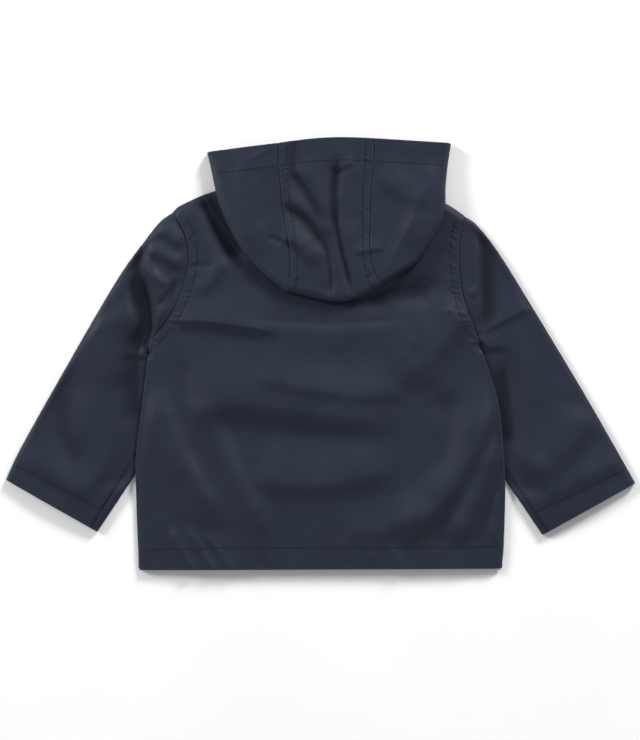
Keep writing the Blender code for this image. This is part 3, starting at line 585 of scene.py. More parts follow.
# Folds and dents: the start, middle and end of each, its half width on its left and on its right as it is
# followed from its start, and its height above the smooth cloth.
BACK_FOLDS = (
    (-144, 196, -114, 128, -68, 72, 12, 24, 3.0),
    (-134, 204, -105, 137, -69, 84, 11, 15, -6.2),
    (30, 50, 80, 64, 126, 64, 10, 20, -4.3),
    (-76, 26, 0, 28, 88, 24, 34, 22, 2.2),
    (93, 58, 96, 30, 88, 0, 12, 12, 2.0),
    (150, 58, 116, 10, 74, -30, 15, 32, 5.8),
    (70, -29, 98, -24, 128, -18, 18, 10, 1.8),
    (-72, -18, -12, -33, 34, -38, 26, 8, 3.4),
    (20, -36, 52, -39, 88, -33, 24, 9, 3.0),
    (-150, -50, -40, -52, 90, -78, 40, 15, 6.4),
    (-72, -119, 0, -128, 88, -107, 34, 13, 5.6),
    (-166, -28, -140, -100, -92, -180, 11, 24, 5.8),
    (-124, -38, -94, -106, -46, -198, 12, 15, 5.0),
    (-138, 14, -134, -60, -122, -124, 10, 10, -2.2),
    (180, -24, 134, -126, 72, -192, 9.5, 26, 8.6),
    (177, -76, 156, -142, 134, -194, 8, 14, 6.8),
    (178, -136, 176, -163, 172, -192, 4, 5, 3.0),
    (121, -36, 128, -78, 108, -134, 12, 12, -3.1),
    (18, -172, 70, -172, 116, -146, 18, 11, 3.2),
    (-94, 100, -108, 75, -124, 62, 7, 10, 2.3),
)
BACK_CREASES = (
    (-152, 34, -96, 30.5, -38, 20, 26, 4.4, 6.0),
    (-84, 38, 10, 31, 104, 38, 14, 5, -1.8),
    (-132, -62, -35, -80, 92, -77, 12, 34, -2.6),
    (-150, -172, -138, -196, -120, -230, 4, 4, 2.6),
    (-134, -170, -118, -196, -97, -230, 4, 5, 2.6),
    (-117, -174, -101, -198, -78, -230, 5, 5, 2.0),
    (-60, -182, -58, -195, -57, -208, 4, 4, 0.9),
    (20, -181, 24, -196, 26, -208, 6, 4, 0.9),
    (48, -180, 50, -194, 52, -210, 5, 4, 1.1),
    (56, -166, 70, -194, 86, -226, 5, 5, 1.8),
    (2.2, -76, 2.2, -134, 2.2, -196, 2.6, 2.6, 0.4),
    (-131, 89, -118, 88, -103, 90, 3, 3, -1.0),
    (118, 40, 126, 43, 134, 45, 3, 3, 0.9),
)


def relief(spots, folds, power=2.0):
    """The height that the folds add at each spot, fading out at both ends. A low power makes them crisp."""
    total = np.zeros(np.shape(spots)[:-1])
    share = np.linspace(0, 1, 17)[:, None]
    for *route, left, right, height in folds:
        start, middle, end = np.array(route, float).reshape(3, 2)
        bend = 2 * middle - (start + end) / 2
        line = (1 - share) ** 2 * start + 2 * share * (1 - share) * bend + share**2 * end
        margin = 4 * max(left, right)
        near = ((spots > line.min(0) - margin) & (spots < line.max(0) + margin)).all(-1)
        along = np.diff(line, axis=0)
        away = spots[near][:, None] - line[:-1]
        part = np.clip((away * along).sum(-1) / (along**2).sum(-1), 0, 1)
        apart = np.sqrt(((away - part[..., None] * along) ** 2).sum(-1))
        nearest = apart.argmin(-1)
        pick = np.arange(len(nearest)), nearest
        step = along[nearest]
        turned = step[:, 0] * away[pick][:, 1] - step[:, 1] * away[pick][:, 0]
        place = (nearest + part[pick]) / len(along)
        fade = smoothstep(4 * place) * smoothstep(4 * (1 - place))
        total[near] += height * fade * np.exp(-((apart[pick] / np.where(turned > 0, left, right)) ** power))
    return total


def painted_shade(spots, folds, shallow=PAINTED_SHADE_DEPTH):
    """0 to 1: painted shade, by how deep each spot lies in the troughs among the folds past a shallow depth.
    """
    troughs = [fold for fold in folds if fold[-1] < 0]
    return smoothstep((-relief(spots, troughs) - shallow) / PAINTED_SHADE_RAMP)


def ripple(spots, shortest, longest, seed):
    """Low uneven waves, as cloth keeps from lying folded. About 1 high at the most."""
    chance = np.random.default_rng(seed)
    total = np.zeros(np.shape(spots)[:-1])
    for turn, size, start in chance.uniform(0, 1, (18, 3)):
        wave = shortest * (longest / shortest) ** size
        way = np.array([np.cos(np.pi * turn), np.sin(np.pi * turn)]) / wave
        total += (wave / longest) ** 0.5 * np.sin(2 * np.pi * (spots @ way + start))
    return total / 5


def puckers(reach, offset, width, seed):
    """Small uneven ridges across an allowance strip, from its edge to a little past its stitching."""
    place = (reach + 0.5 * offset) / PUCKER_PITCH + 0.34 * np.sin(0.61 * reach / PUCKER_PITCH * 2 + seed)
    place += 0.21 * np.sin(1.37 * reach / PUCKER_PITCH * 2 + 2.3 * seed)
    size = 0.55 + 0.3 * np.sin(0.23 * reach + seed) + 0.15 * np.sin(0.61 * reach + 1.7 * seed)
    strip = smoothstep(offset / 2.5) * (1 - smoothstep((offset - width) / 4))
    return strip * size * np.sin(2 * np.pi * place)


def past_rim(spots):
    """How far each spot of the back lies in under the hood, from its rim. It is less than 0 outside."""
    return spots[..., 1] - HOOD_COVER_Y - HOOD_COVER_BEND * (spots[..., 0] - HOOD_COVER_X) ** 2


def soft_maximum(value, lowest, blend=0.3):
    """The value, but not under the lowest, with a soft bend of about blend millimetres between them."""
    return lowest + blend * np.logaddexp(0, (value - lowest) / blend)


back_armhole_stitch = {
    "left": Curve(CURVES["left"]["armhole"].beside(ARMHOLE_STITCH)[3:-6:4]),
    "right": Curve(CURVES["right"]["armhole"].beside(-ARMHOLE_STITCH)[3:-6:4]),
}
hem_stitch = Curve(HEM_STITCH)
hem_edge = Curve([SIDE_LEFT[-1], SIDE_RIGHT[-1]])


def back_level(spots):
    """Top face of the back."""
    seams = [CURVES[side][name].distance(spots) for side in CURVES for name in ("side", "shoulder")]
    seam = np.min(seams, axis=0)
    floor = overlap_rise(spots) + TUCK_LIFT * np.maximum(tuck(spots, "left"), tuck(spots, "right"))
    lowest = FLOOR_MARGIN * floor + CLOTH + GAP + DRAPED_CLOTH
    lowest += GAP / 2 * smoothstep(2 * seam / BACK_ROLL)
    inside = 1 - (1 - np.clip(seam / BACK_ROLL, 0, 1)) ** 2
    covered = past_rim(spots)
    pressed = 1 - 0.6 * smoothstep((covered + 40) / 50)
    armhole = [CURVES[side]["armhole"].foot(spots) for side in CURVES]
    open_cloth = np.minimum(seam, np.minimum(armhole[0][0], armhole[1][0]))
    level = SEAM_LEVEL + (BACK_LEVEL - SEAM_LEVEL) * inside
    level += BACK_LOFT * smoothstep(open_cloth / BACK_LOFT_REACH) * pressed
    folds = relief(spots, BACK_FOLDS) + relief(spots, BACK_CREASES, CRISP) + RIPPLE * ripple(spots, 16, 80, 5)
    level += folds * (1 - smoothstep(covered / HOOD_COVER_FADE)) * smoothstep(seam / BACK_FOLDS_IN)
    from_side = smoothstep(seam / 8)
    for (offset, reach), side, seed in zip(armhole, CURVES, (0.4, 2.9)):
        level += ARMHOLE_PUCKERS * puckers(reach, offset, ARMHOLE_STITCH, seed) * from_side
        level -= STITCH_GROOVE * np.exp(-(back_armhole_stitch[side].distance(spots) ** 2))
    offset, reach = hem_edge.foot(spots)
    level += HEM_PUCKERS * puckers(reach, offset, HEM_ALLOWANCE, 1.1) * from_side
    return soft_maximum(level, lowest, 0.25 * smoothstep(seam / 20) + 0.02)


def make_back():
    armhole = {side: seam_curve(side, "armhole", -0.7) for side in CURVES}
    top = Curve([*SHOULDER_LEFT, *BACK_NECK[1:], *SHOULDER_RIGHT[1:]], corners=(3, 7))
    chest = Curve([armhole["left"].line[-1], armhole["right"].line[-1]])
    above = (top, chest, armhole["left"], armhole["right"])
    below = (chest, hem_edge, Curve(SIDE_LEFT), Curve(SIDE_RIGHT))
    rows_above = places(ARMHOLE_LENGTH, FINE_EDGE, (0.0,), BACK_ROWS_ABOVE) / ARMHOLE_LENGTH
    rows_below = places(BACK_SIDE_LENGTH, (0.0,), BACK_HEM_PLACES, BACK_ROWS_BELOW) / BACK_SIDE_LENGTH
    spots = panel_grid(
        above, below, rows_above, rows_below,
        lambda width: places(width, STRIP_PLACES, STRIP_PLACES, BACK_COLUMNS),
    )
    level = back_level(spots)
    # The back's deepest troughs get painted shade.
    panel = cloth_piece(
        "back_cloth", lifted(spots, level), lifted(spots, level - DRAPED_CLOTH), navy_coated_cloth,
        depth=painted_shade(spots, BACK_FOLDS),
    )
    lines = []
    for curve in (*back_armhole_stitch.values(), hem_stitch):
        line = curve.at(np.linspace(0.005, 0.995, 300))
        lines.append((lifted(line, back_level(line)), 1))
    return panel, sewing("back_stitching", lines, navy_thread)


back, back_stitches = make_back()
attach(back, "root")
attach(back_stitches, "root")
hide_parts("back")


# THE SLEEVES. Each is one panel sewn into a tube, with its seam under the arm, and set into the armhole. It
# lies flat on the table, its upper layer on its lower one, and its hem is turned in and stitched.
FOLD_MIDDLE = 1.3
SLEEVE_ROLL = 5.0
SLEEVE_FOLDS_IN = 10.0
SLEEVE_LOFT = 1.6
SLEEVE_LOFT_REACH = 45.0
SLEEVE_LOWEST = 2 * CLOTH + 0.4
SLEEVE_PUCKERS = 0.15  # along the armhole seam
CUFF_PUCKERS = 0.14
UNDERARM_GROOVE = 0.9
SLEEVE_ROLL_REACH = 5.5
OUTER_PACE = 0.8
INNER_PACE = 1.8
LAP = 1.45  # a sleeve's edge lies this far below the back's, which laps over it
LAP_REACH = 2.4
OUTER_ARM = {
    "left": (
        (-146.5, 142.5), (-159.7, 133.2), (-173.5, 116.3), (-201.1, 78.0), (-247.0, -0.1), (-297.5, -89.8),
        (-314.3, -125.0),
    ),
    "right": (
        (143.0, 138.5), (156.1, 129.3), (177.5, 102.5), (211.2, 48.2), (263.3, -38.5), (301.5, -105.1),
        (314.6, -128.5),
    ),
}
INNER_ARM = {
    "left": (
        (-172.0, 1.5), (-171.0, -8.0), (-170.5, -20.0), (-171.5, -35.0), (-173.2, -55.0), (-175.2, -76.0),
        (-179.0, -98.0), (-184.6, -118.1), (-198.0, -139.5), (-222.8, -177.0),
    ),
    "right": (
        (159.5, 8.5), (161.8, -6.5), (166.0, -23.0), (170.5, -40.0), (173.5, -60.0), (176.5, -83.0),
        (179.8, -105.0), (185.4, -125.8), (198.9, -146.5), (221.6, -180.3),
    ),
}
UNDERARM_SEAM = {
    "left": ((-181.0, -88.0), (-185.0, -98.7), (-206.0, -134.5), (-228.7, -172.0)),
    "right": ((181.0, -103.0), (185.0, -113.5), (205.0, -145.0), (226.5, -177.0)),
}
CUFF_ROW = 0.932  # the cuff's stitching lies at this share of the way from the armhole to the cuff
CUFF_WAYS = (0.0, 0.3, 0.7, 1.2, 2.0, 3.0)
SLEEVE_ROWS = 116
SLEEVE_COLUMNS_OVER = 86
SLEEVE_COLUMNS_UNDER = 30
SLEEVE_EDGE_PLACES = (0.0, 0.12, 0.4, 0.9, 1.6, 2.6, 3.9, 5.5, 7.2, 9.0)
SLEEVE_UNDER_PLACES = (0.0, 0.4, 1.1, 2.2)
SLEEVE_FOLDS = {
    "left": (
        (-174, 126, -154, 121, -135, 103, 12, 6.5, 3.8),
        (-174, 104, -157, 99, -133, 83, 9, 5, 4.0),
        (-175, 126, -182, 80, -173, 32, 5, 12, -4.8),
        (-182, 84, -172, 44, -174, -2, 5, 13, -7.0),
        (-174, 90, -161, 54, -166, 10, 9, 3.6, 4.2),
        (-193, 96, -190, 54, -184, 8, 9, 16, 2.6),
        (-143, 77, -152, 60, -166, 46, 8, 2.4, -2.4),
        (-224, 44, -208, 8, -190, -34, 26, 24, 3.6),
        (-181, 40, -185, -24, -179, -84, 8, 22, -4.6),
        (-234, 0, -258, -66, -218, -126, 20, 18, -3.6),
        (-302, -97, -262, -122, -220, -147, 15, 9, 2.8),
    ),
    "right": (
        (157, 124, 158, 70, 157, 24, 9, 4, 2.4),
        (157, 140, 165, 80, 165, 4, 17, 9, -5.0),
        (148, 66, 152, 62, 156, 58, 5, 5, 1.4),
        (176, 14, 185, -52, 187, -104, 10, 15, -5.0),
        (184, -92, 188, -103, 193, -114, 4, 4, -2.2),
        (184, -98, 205, -108, 228, -121, 12, 8, 2.4),
        (266, -48, 247, -92, 208, -128, 13, 24, 4.2),
        (203, -151, 262, -124, 306, -101, 14, 9, 2.6),
    ),
}
SLEEVE_CREASES = {
    "left": (
        (-171, 101, -166, 80, -148, 65, 4, 3, 2.4),
        (-176, 24, -162, 25, -147, 37, 2.5, 2.5, -0.9),
        (-173, 26, -173, 12, -172, -4, 2.2, 2.6, -5.0),
    ),
    "right": (
        (156.5, 126, 157, 92, 157.6, 60, 2.5, 2.5, 1.4),
        (158.7, 24, 159.2, 15, 160, 4, 1.5, 1.5, -3.0),
        (218, 51, 187, 36, 158, 20, 3.4, 18, 2.9),
    ),
}

# At the underarm the allowance stands open in a small loop. These give its folded edge, and the opening
# inside it, painted dark as shade, as its middle (x, y) and half its size.
LOOP_EDGE = {
    "left": ((-171.6, 20.0), (-175.4, 17.0), (-177.6, 11.5), (-176.8, 5.0), (-173.6, -0.6)),
    "right": ((158.6, 18.2), (162.4, 14.0), (164.6, 7.0), (163.4, -0.6)),
}
LOOP_SHADED_OPENING = {"left": (-173.6, 9.6, 3.4, 8.4), "right": (160.9, 8.0, 3.0, 8.0)}
LOOP_EDGE_RADIUS = 0.42
LOOP_EDGE_RISE = 0.5
LOOP_EDGE_DIP = 2.2  # its ends run this far down into the cloth
# the loop's edge is rubbed paler, with a painted highlight on its lip
LOOP_WEAR_AND_HIGHLIGHT = 0.7

for side in CURVES:
    CURVES[side]["outer"] = Curve(OUTER_ARM[side])
    CURVES[side]["inner"] = Curve(INNER_ARM[side])
    CURVES[side]["underarm"] = Curve(UNDERARM_SEAM[side])


def sleeve_level(spots, side):
    """Top face of a sleeve, without the roll of its folded edges."""
    outer = CURVES[side]["outer"].distance(spots)
    inner = CURVES[side]["inner"].distance(spots)
    offset, reach = CURVES[side]["armhole"].foot(spots)
    below = CURVES[side]["side"].line[0, 1] - spots[..., 1]
    tucked = smoothstep(below / TUCK_RAMP) * (1 - smoothstep((below - TUCK_SPAN[side]) / (2 * TUCK_RAMP)))
    strip = tucked * (1 - smoothstep((inner - TUCK_FLAT) / (TUCK_FADE - TUCK_FLAT)))
    fold = np.minimum(outer, inner)
    loft = SLEEVE_LOFT * smoothstep(np.minimum(fold, offset) / SLEEVE_LOFT_REACH)
    folds = relief(spots, SLEEVE_FOLDS[side]) + relief(spots, SLEEVE_CREASES[side], CRISP)
    folds += RIPPLE * ripple(spots, 16, 80, 11 if side == "left" else 12)
    folds *= 0.3 + 0.7 * smoothstep(offset / SLEEVE_FOLDS_IN)
    level = BACK_LEVEL + loft + folds * smoothstep(fold / SLEEVE_FOLDS_IN)
    ridges = puckers(reach, offset, 2.0, 0.4 if side == "left" else 2.9)
    level += SLEEVE_PUCKERS * ridges * smoothstep(fold / 10)
    level -= UNDERARM_GROOVE * np.exp(-(CURVES[side]["underarm"].distance(spots) ** 2))
    level = soft_maximum(level, SLEEVE_LOWEST)
    return level + (SLEEVE_LOWEST - level) * strip


def sleeve_spots(armhole, outer, inner, across, down):
    """Spots of a sleeve, whose sections turn from the armhole, where they start, to the cuff."""
    across, down = np.broadcast_arrays(across, down)
    share = across[..., None]
    straight = outer.at(down**OUTER_PACE) * (1 - share) + inner.at(down**INNER_PACE) * share
    bow = armhole.at(across) - armhole.at(0) * (1 - share) - armhole.at(1) * share
    return straight + bow * (1 - down[..., None]) ** 3


def inset(distance, wall, reach):
    """Where the inside of a folded edge's wall lies, for a place this far in from the outside of the fold."""
    return distance + wall * np.clip(1 - distance / reach, 0, 1)


def sleeve_painted_shade(spots, side):
    """0 to 1: painted shade of the upper layer in its troughs, on its seam and in the loop's opening."""
    seam = 0.9 * np.exp(-((CURVES[side]["underarm"].distance(spots) / 1.2) ** 2))
    x, y, half_x, half_y = LOOP_SHADED_OPENING[side]
    apart = ((spots[..., 0] - x) / half_x) ** 2 + ((spots[..., 1] - y) / half_y) ** 2
    opening_shade = smoothstep((1.4 - apart) / 0.6)
    return np.maximum.reduce([painted_shade(spots, SLEEVE_FOLDS[side]), seam, opening_shade])


def make_sleeve(side):
    """A flattened tube: its columns run over the top layer to the fold, and back underneath."""
    armhole = seam_curve(side, "armhole", -GAP / 2)
    sign = -1 if side == "left" else 1
    outer = Curve([armhole.line[0], *OUTER_ARM[side][1:]])
    inner = Curve([armhole.line[-1], *INNER_ARM[side][1:]])
    length = (outer.length + inner.length) / 2
    cuff = length * (1 - CUFF_ROW)
    ways = sorted({cuff + way * step for way in (-1, 1) for step in CUFF_WAYS})
    rows = places(length, STRIP_PLACES, (*FINE_EDGE, *np.arange(4.0, 13.0, 1.6), *ways), SLEEVE_ROWS) / length
    widths = np.linalg.norm(outer.at(rows**OUTER_PACE) - inner.at(rows**INNER_PACE), axis=1)
    widths += (ARMHOLE_LENGTH - widths) * (1 - rows) ** 3
    from_cuff_stitch = (rows - CUFF_ROW) * length
    grids = []
    painted_shades = []
    edge, count = SLEEVE_EDGE_PLACES, SLEEVE_COLUMNS_OVER
    over = np.array([places(width, edge, edge, count) for width in widths])
    edge, count = SLEEVE_UNDER_PLACES, SLEEVE_COLUMNS_UNDER
    under = np.array([places(width, edge, edge, count) for width in widths])[:, -2:0:-1]
    half = widths[:, None] / 2
    for wall in (0.0, CLOTH):
        layers = []
        for place, roll, on_top in ((over, SLEEVE_ROLL, True), (under, SLEEVE_UNDER_PLACES[-1], False)):
            depth = half - np.abs(place - half)
            moved = inset(depth, wall, SLEEVE_ROLL_REACH)
            place = np.where(place < half, moved, 2 * half - moved)
            spots = sleeve_spots(armhole, outer, inner, place / widths[:, None], rows[:, None])
            turn = rounded(np.maximum(moved - wall, 0), roll - wall)
            face = wall
            if on_top:
                pleats = puckers(place, -from_cuff_stitch[:, None], 4.0, 1.9)
                face = sleeve_level(spots, side) - wall + CUFF_PUCKERS * pleats * smoothstep(depth / 8)
            level = FOLD_MIDDLE + (face - FOLD_MIDDLE) * turn
            if on_top:
                lap = back_level(spots) - DRAPED_CLOTH - 0.15 - wall
                offset = armhole.distance(spots)
                lowered = np.minimum(level, lap)
                level = level + (lowered - level) * (1 - smoothstep(offset / LAP_REACH))
            layers.append(lifted(spots, level))
            if wall == 0:
                # The upper layer gets painted shade in its troughs, on its seam and in the loop's opening.
                painted_shades.append(on_top * sleeve_painted_shade(spots, side))
        grids.append(np.concatenate(layers, axis=1)[:, ::-sign])
    depth = np.concatenate(painted_shades, axis=1)[:, ::-sign]
    panel = cloth_piece(f"sleeve_{side}_cloth", *grids, navy_coated_cloth, closed=True, depth=depth)
    row = int(np.abs(rows - CUFF_ROW).argmin())
    around = grids[0][row][::-sign]
    top_count = over.shape[1]
    upper = around[4:top_count - 4]
    lower = around[top_count + 3:-3] + np.array([0, 0, UNDER_STITCH_RISE])
    stitches = sewing(f"sleeve_{side}_stitching", [(upper, 1), (lower, -1)], navy_thread)
    return panel, stitches


def make_loop(side):
    """The folded edge of the loop at the underarm, which runs into the cloth at both ends."""
    share = np.linspace(0, 1, 25)
    line = Curve(LOOP_EDGE[side]).at(share)
    rise = LOOP_EDGE_RISE - LOOP_EDGE_DIP * np.abs(2 * share - 1) ** 3
    middle = lifted(line, sleeve_level(line, side) + rise)
    step = np.gradient(middle, axis=0)
    beside = np.cross([0.0, 0.0, 1.0], step)
    beside /= np.linalg.norm(beside, axis=1)[:, None]
    turn = 2 * np.pi * np.arange(8)[:, None] / 8
    around = beside[:, None] * np.cos(turn) + np.array([0.0, 0.0, 1.0]) * np.sin(turn)
    size = LOOP_EDGE_RADIUS * np.sqrt(1 - 0.98 * (2 * share - 1) ** 6)
    points = middle[:, None] + size[:, None, None] * around
    faces = bar_faces(np.arange(points.size // 3).reshape(points.shape[:2]))
    loop = mesh_from(f"underarm_loop_{side}", points.reshape(-1, 3), faces.tolist(), navy_coated_cloth)
    # Its edge is rubbed paler and carries a painted highlight on its lip.
    worn_and_highlit = loop.data.attributes.new("wear_and_highlight", "FLOAT", "POINT")
    worn_and_highlit.data.foreach_set("value", np.full(points.size // 3, LOOP_WEAR_AND_HIGHLIGHT, np.float32))
    return loop


for side, area in (("left", 0.0507), ("right", 0.0488)):
    panel, stitches = make_sleeve(side)
    loop = make_loop(side)
    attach(panel, "root")
    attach(stitches, "root")
    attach(loop, "root")
    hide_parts("sleeve_" + side)


# THE HOOD. A middle strip between two side panels, of the same cloth, sewn to the neck. It is turned down on
# the back, so each panel runs over the folded rim and back under itself. Its face edge is turned in and
# stitched.
HOOD_WALL = 1.2
HOOD_REST = BACK_LEVEL + GAP
HOOD_CREASE = 2.4  # the folded rim's sharp edge is this far above the hood's lower layer
HOOD_ROLL_UNDER = 2.5
HOOD_ROLL_OVER = 7.5
HOOD_EDGE_LEVEL = 16.5
HOOD_CROWN_RISE = 0.6
HOOD_CROWN_START = 200.0
HOOD_CROWN_RAMP = 90.0
HOOD_MIDDLE_X = 8.0
HOOD_CORNER_DROP = 3.0
HOOD_CORNER_X = 55.0
HOOD_CORNER_Y = 140.0
HOOD_CORNER_RAMP = 60.0
HOOD_LOWEST = HOOD_REST + 2 * HOOD_WALL + GAP
# The folded rim is rubbed paler and carries a painted highlight, strongest on the left panel.
RIM_WEAR_AND_HIGHLIGHT = {"left": 0.95, "center": 0.5, "right": 0.35}
WEAR_AND_HIGHLIGHT_REACH = 9.0
HOOD_RIPPLE = 0.3
HOOD_SHALLOW = 0.5  # the hood's troughs get painted shade from this deep
LADDER_PUCKERS = 0.24  # between the seams and their topstitching
FACE_PUCKERS = 0.16
FACE_TURNED = 14.0  # they start this far from the face edge
HOOD_SEAM_STITCH = 8.5  # the topstitching runs this far from the seams, on the middle strip
FACE_STITCH = 22.5  # and this far from the face edge
FACE_EDGE_BOW = 3.0
FACE_EDGE_START = 150.0
FACE_EDGE_RAMP = 60.0
CROWN_BOW = 12.5
CROWN_SKEW = 1.25
CROWN_BOW_REACH = 45.0
HOOD_ROWS = np.concatenate([
    (0, 0.015, 0.045, 0.09, 0.15), np.linspace(0.28, 2.6, 17), np.linspace(2.72, 4.3, 28),
    np.linspace(4.45, 7, 18), np.linspace(7.08, 12, 78),
])
HOOD_SEAM_PLACES = (0.0, 0.1, 0.3, 0.6, 1.0, 1.6, 2.4, 3.4, 4.6, 6.0)
HOOD_RIM_PLACES = (9.0, 7.2, 5.6, 4.2, 3.0, 2.0, 1.2, 0.6, 0.2, 0.0)
HOOD_RETURN_PLACES = (0.3, 0.8, 1.5, 2.6)
HOOD_NARROW = 30.0
HOOD_COLUMNS_OVER = 46
HOOD_COLUMNS_UNDER = 18
HOOD_COLUMNS_CENTER = 62
HOOD_SECTIONS = {
    "left": (
        # seam_x, seam_y, rim_x, rim_y, neck_x, neck_y, rim_rise, neck_rise
        (-41.7, 210.4, -113.5, 201.5, -1.0, 140.2, 0.0, 0.0),
        (-41.7, 203.5, -111.9, 196.0, -22.0, 144.6, 0.0, 0.0),
        (-41.7, 197.0, -110.8, 191.5, -45.0, 156.2, 0.0, 0.0),
        (-41.6, 190.5, -109.8, 187.2, -67.5, 167.3, 0.0, 0.0),
        (-41.2, 183.0, -108.2, 180.0, -72.0, 172.5, 0.12, 0.12),
        (-40.6, 175.0, -106.7, 172.5, -75.5, 170.6, 0.45, 0.56),
        (-39.8, 166.5, -105.0, 165.0, -73.5, 166.0, 0.86, 0.86),
        (-39.1, 158.0, -103.2, 157.5, -66.3, 166.4, 1.0, 1.0),
        (-37.4, 144.0, -99.0, 144.5, -60.5, 166.0, 1.0, 1.0),
        (-34.6, 127.5, -91.0, 126.5, -55.5, 165.4, 1.0, 1.0),
        (-31.0, 105.0, -76.9, 102.4, -51.0, 164.9, 1.0, 1.0),
        (-30.0, 84.0, -55.5, 79.1, -47.5, 164.5, 1.0, 1.0),
        (-32.8, 67.5, -34.1, 62.4, -45.0, 164.3, 1.0, 1.0),
    ),
    "right": (
        (53.4, 214.9, 130.5, 210.4, 1.0, 140.2, 0.0, 0.0),
        (53.4, 207.0, 129.3, 203.0, 23.5, 143.9, 0.0, 0.0),
        (53.2, 199.5, 128.2, 196.5, 48.0, 154.8, 0.0, 0.0),
        (53.0, 192.5, 127.3, 190.5, 71.5, 164.6, 0.0, 0.0),
        (52.2, 184.5, 126.4, 183.0, 76.5, 170.5, 0.12, 0.12),
        (51.4, 176.0, 125.4, 174.0, 79.5, 168.4, 0.45, 0.56),
        (50.4, 167.0, 124.6, 165.0, 78.0, 163.6, 0.86, 0.86),
        (49.9, 158.0, 124.6, 154.0, 70.2, 163.5, 1.0, 1.0),
        (49.4, 144.0, 123.9, 142.0, 65.0, 163.1, 1.0, 1.0),
        (49.0, 127.5, 116.5, 123.0, 60.5, 162.7, 1.0, 1.0),
        (48.6, 105.0, 98.1, 93.4, 56.5, 162.4, 1.0, 1.0),
        (52.4, 84.0, 77.0, 78.6, 53.0, 162.1, 1.0, 1.0),
        (57.6, 72.0, 59.7, 66.8, 49.5, 161.9, 1.0, 1.0),
    ),
}
HOOD_FOLDS = (
    (-17, 228, -28, 198, -27, 168, 9, 4, -2.0),
    (-27, 187, -9, 165, 12, 120, 16, 6, 1.4),
    (-32, 182, -13, 160, 6, 124, 5, 9, -2.7),
    (-38, 154, -10, 139, 8, 112, 14, 6, 1.6),
    (-44, 152, -14, 132, 9, 98, 5, 9, -2.8),
    (2, 114, 9, 88, 10, 48, 4, 4, -2.4),
    (19, 200, 14, 164, 16, 122, 6, 6, -3.5),
    (13, 146, 21, 104, 36, 48, 3.6, 4, -3.2),
    (28, 136, 32, 100, 41, 50, 9, 9, 1.6),
    (12, 180, 22, 187, 35, 191, 10, 3, 1.8),
    (-42, 114, -22, 109, -8, 84, 12, 3.4, 3.0),
    (-68, 226, -75, 156, -60, 88, 16, 12, 3.0),
    (54, 182, 80, 164, 105, 144, 16, 10, 2.5),
    (-52, 117, -45, 114, -37, 111, 3, 4, -1.4),
    (46, 78, 49, 77.5, 53, 77, 3, 3, -1.1),
    (108, 200, 101, 146, 76, 110, 16, 12, 2.2),
    (100, 150, 84, 112, 54, 60, 16, 12, 2.2),
)
HOOD_CREASES = (
    (32, 100.5, 48.6, 103.5, 65, 105.5, 8, 2.4, 1.9),
    (108, 194, 105, 164, 88, 136, 3, 3, 1.0),
    (99, 147, 84, 120, 59, 68, 3, 3, 0.7),
    (4, 62, 21, 51, 37, 62, 3, 2, 1.4),
    (-66, 194, -56, 201, -46, 207.6, 2, 2, 0.4),
    (-74, 190, -64, 197, -54, 204, 2, 2, 0.35),
)


def hood_level(spots):
    """Top face of the hood's upper layer, without the roll of its rim."""
    x, y = spots[..., 0], spots[..., 1]
    level = HOOD_EDGE_LEVEL + HOOD_CROWN_RISE * smoothstep((HOOD_CROWN_START - y) / HOOD_CROWN_RAMP)
    aside = smoothstep((np.abs(x - HOOD_MIDDLE_X) - HOOD_CORNER_X) / HOOD_CORNER_RAMP)
    corner = aside * smoothstep((y - HOOD_CORNER_Y) / HOOD_CORNER_RAMP)
    folds = relief(spots, HOOD_FOLDS) + relief(spots, HOOD_CREASES, CRISP)
    folds += HOOD_RIPPLE * ripple(spots, 14, 60, 21)
    return soft_maximum(level - HOOD_CORNER_DROP * corner + folds, HOOD_LOWEST - 4)


def read_sections(table, at_rows):
    """The hood's sections read between the table's rows: smoothly in the plane, evenly in height."""
    table = np.array(table)
    smooth = [Curve.smooth(table[:, k:k + 2], 24) for k in (0, 2, 4)]
    fine = np.linspace(0, len(table) - 1, len(smooth[0]))
    plane = [[np.interp(at_rows, fine, line[:, axis]) for axis in (0, 1)] for line in smooth]
    seam, rim, neck = (np.stack(pair, axis=-1) for pair in plane)
    rises = [np.interp(at_rows, np.arange(len(table)), table[:, k]) for k in (6, 7)]
    return seam, rim, neck, rises


def hood_path(length_over, length_under, wall):
    """Places along a hood section, measured in from the folded rim: over the top layer, then under it."""
    scale = min(1.0, length_over / HOOD_NARROW)
    near_seam = np.array(HOOD_SEAM_PLACES) * scale
    near_rim = np.array(HOOD_RIM_PLACES)[::-1] * scale
    over = length_over - places(length_over, near_seam, near_rim, HOOD_COLUMNS_OVER)
    back = np.array(HOOD_RETURN_PLACES)
    under = np.concatenate([back, np.linspace(back[-1], length_under, HOOD_COLUMNS_UNDER + 1)[1:]])
    return inset(over, wall, HOOD_ROLL_OVER * scale), inset(under, wall, HOOD_ROLL_OVER)


def hood_over(spots, depth, crease, wall):
    """Height of the upper layer's face: the rim's edge, rolling up to the hood's level."""
    turn = rounded(np.maximum(depth - wall, 0), HOOD_ROLL_OVER - wall)
    return crease + (hood_level(spots) - wall - crease) * turn


def rim_rub_and_highlight(over, under, most):
    """Rubbing and painted highlight along the folded rim, on a section's top layer and then below it."""
    return np.concatenate([most * np.exp(-((over / WEAR_AND_HIGHLIGHT_REACH) ** 2)), np.zeros_like(under)])


def hood_under(depth, crease, rest, wall):
    """Height of the lower layer's face: the rim's edge, rolling down to where the hood rests."""
    turn = rounded(np.maximum(depth - wall, 0), HOOD_ROLL_UNDER - wall)
    return crease + (rest + wall - crease) * turn


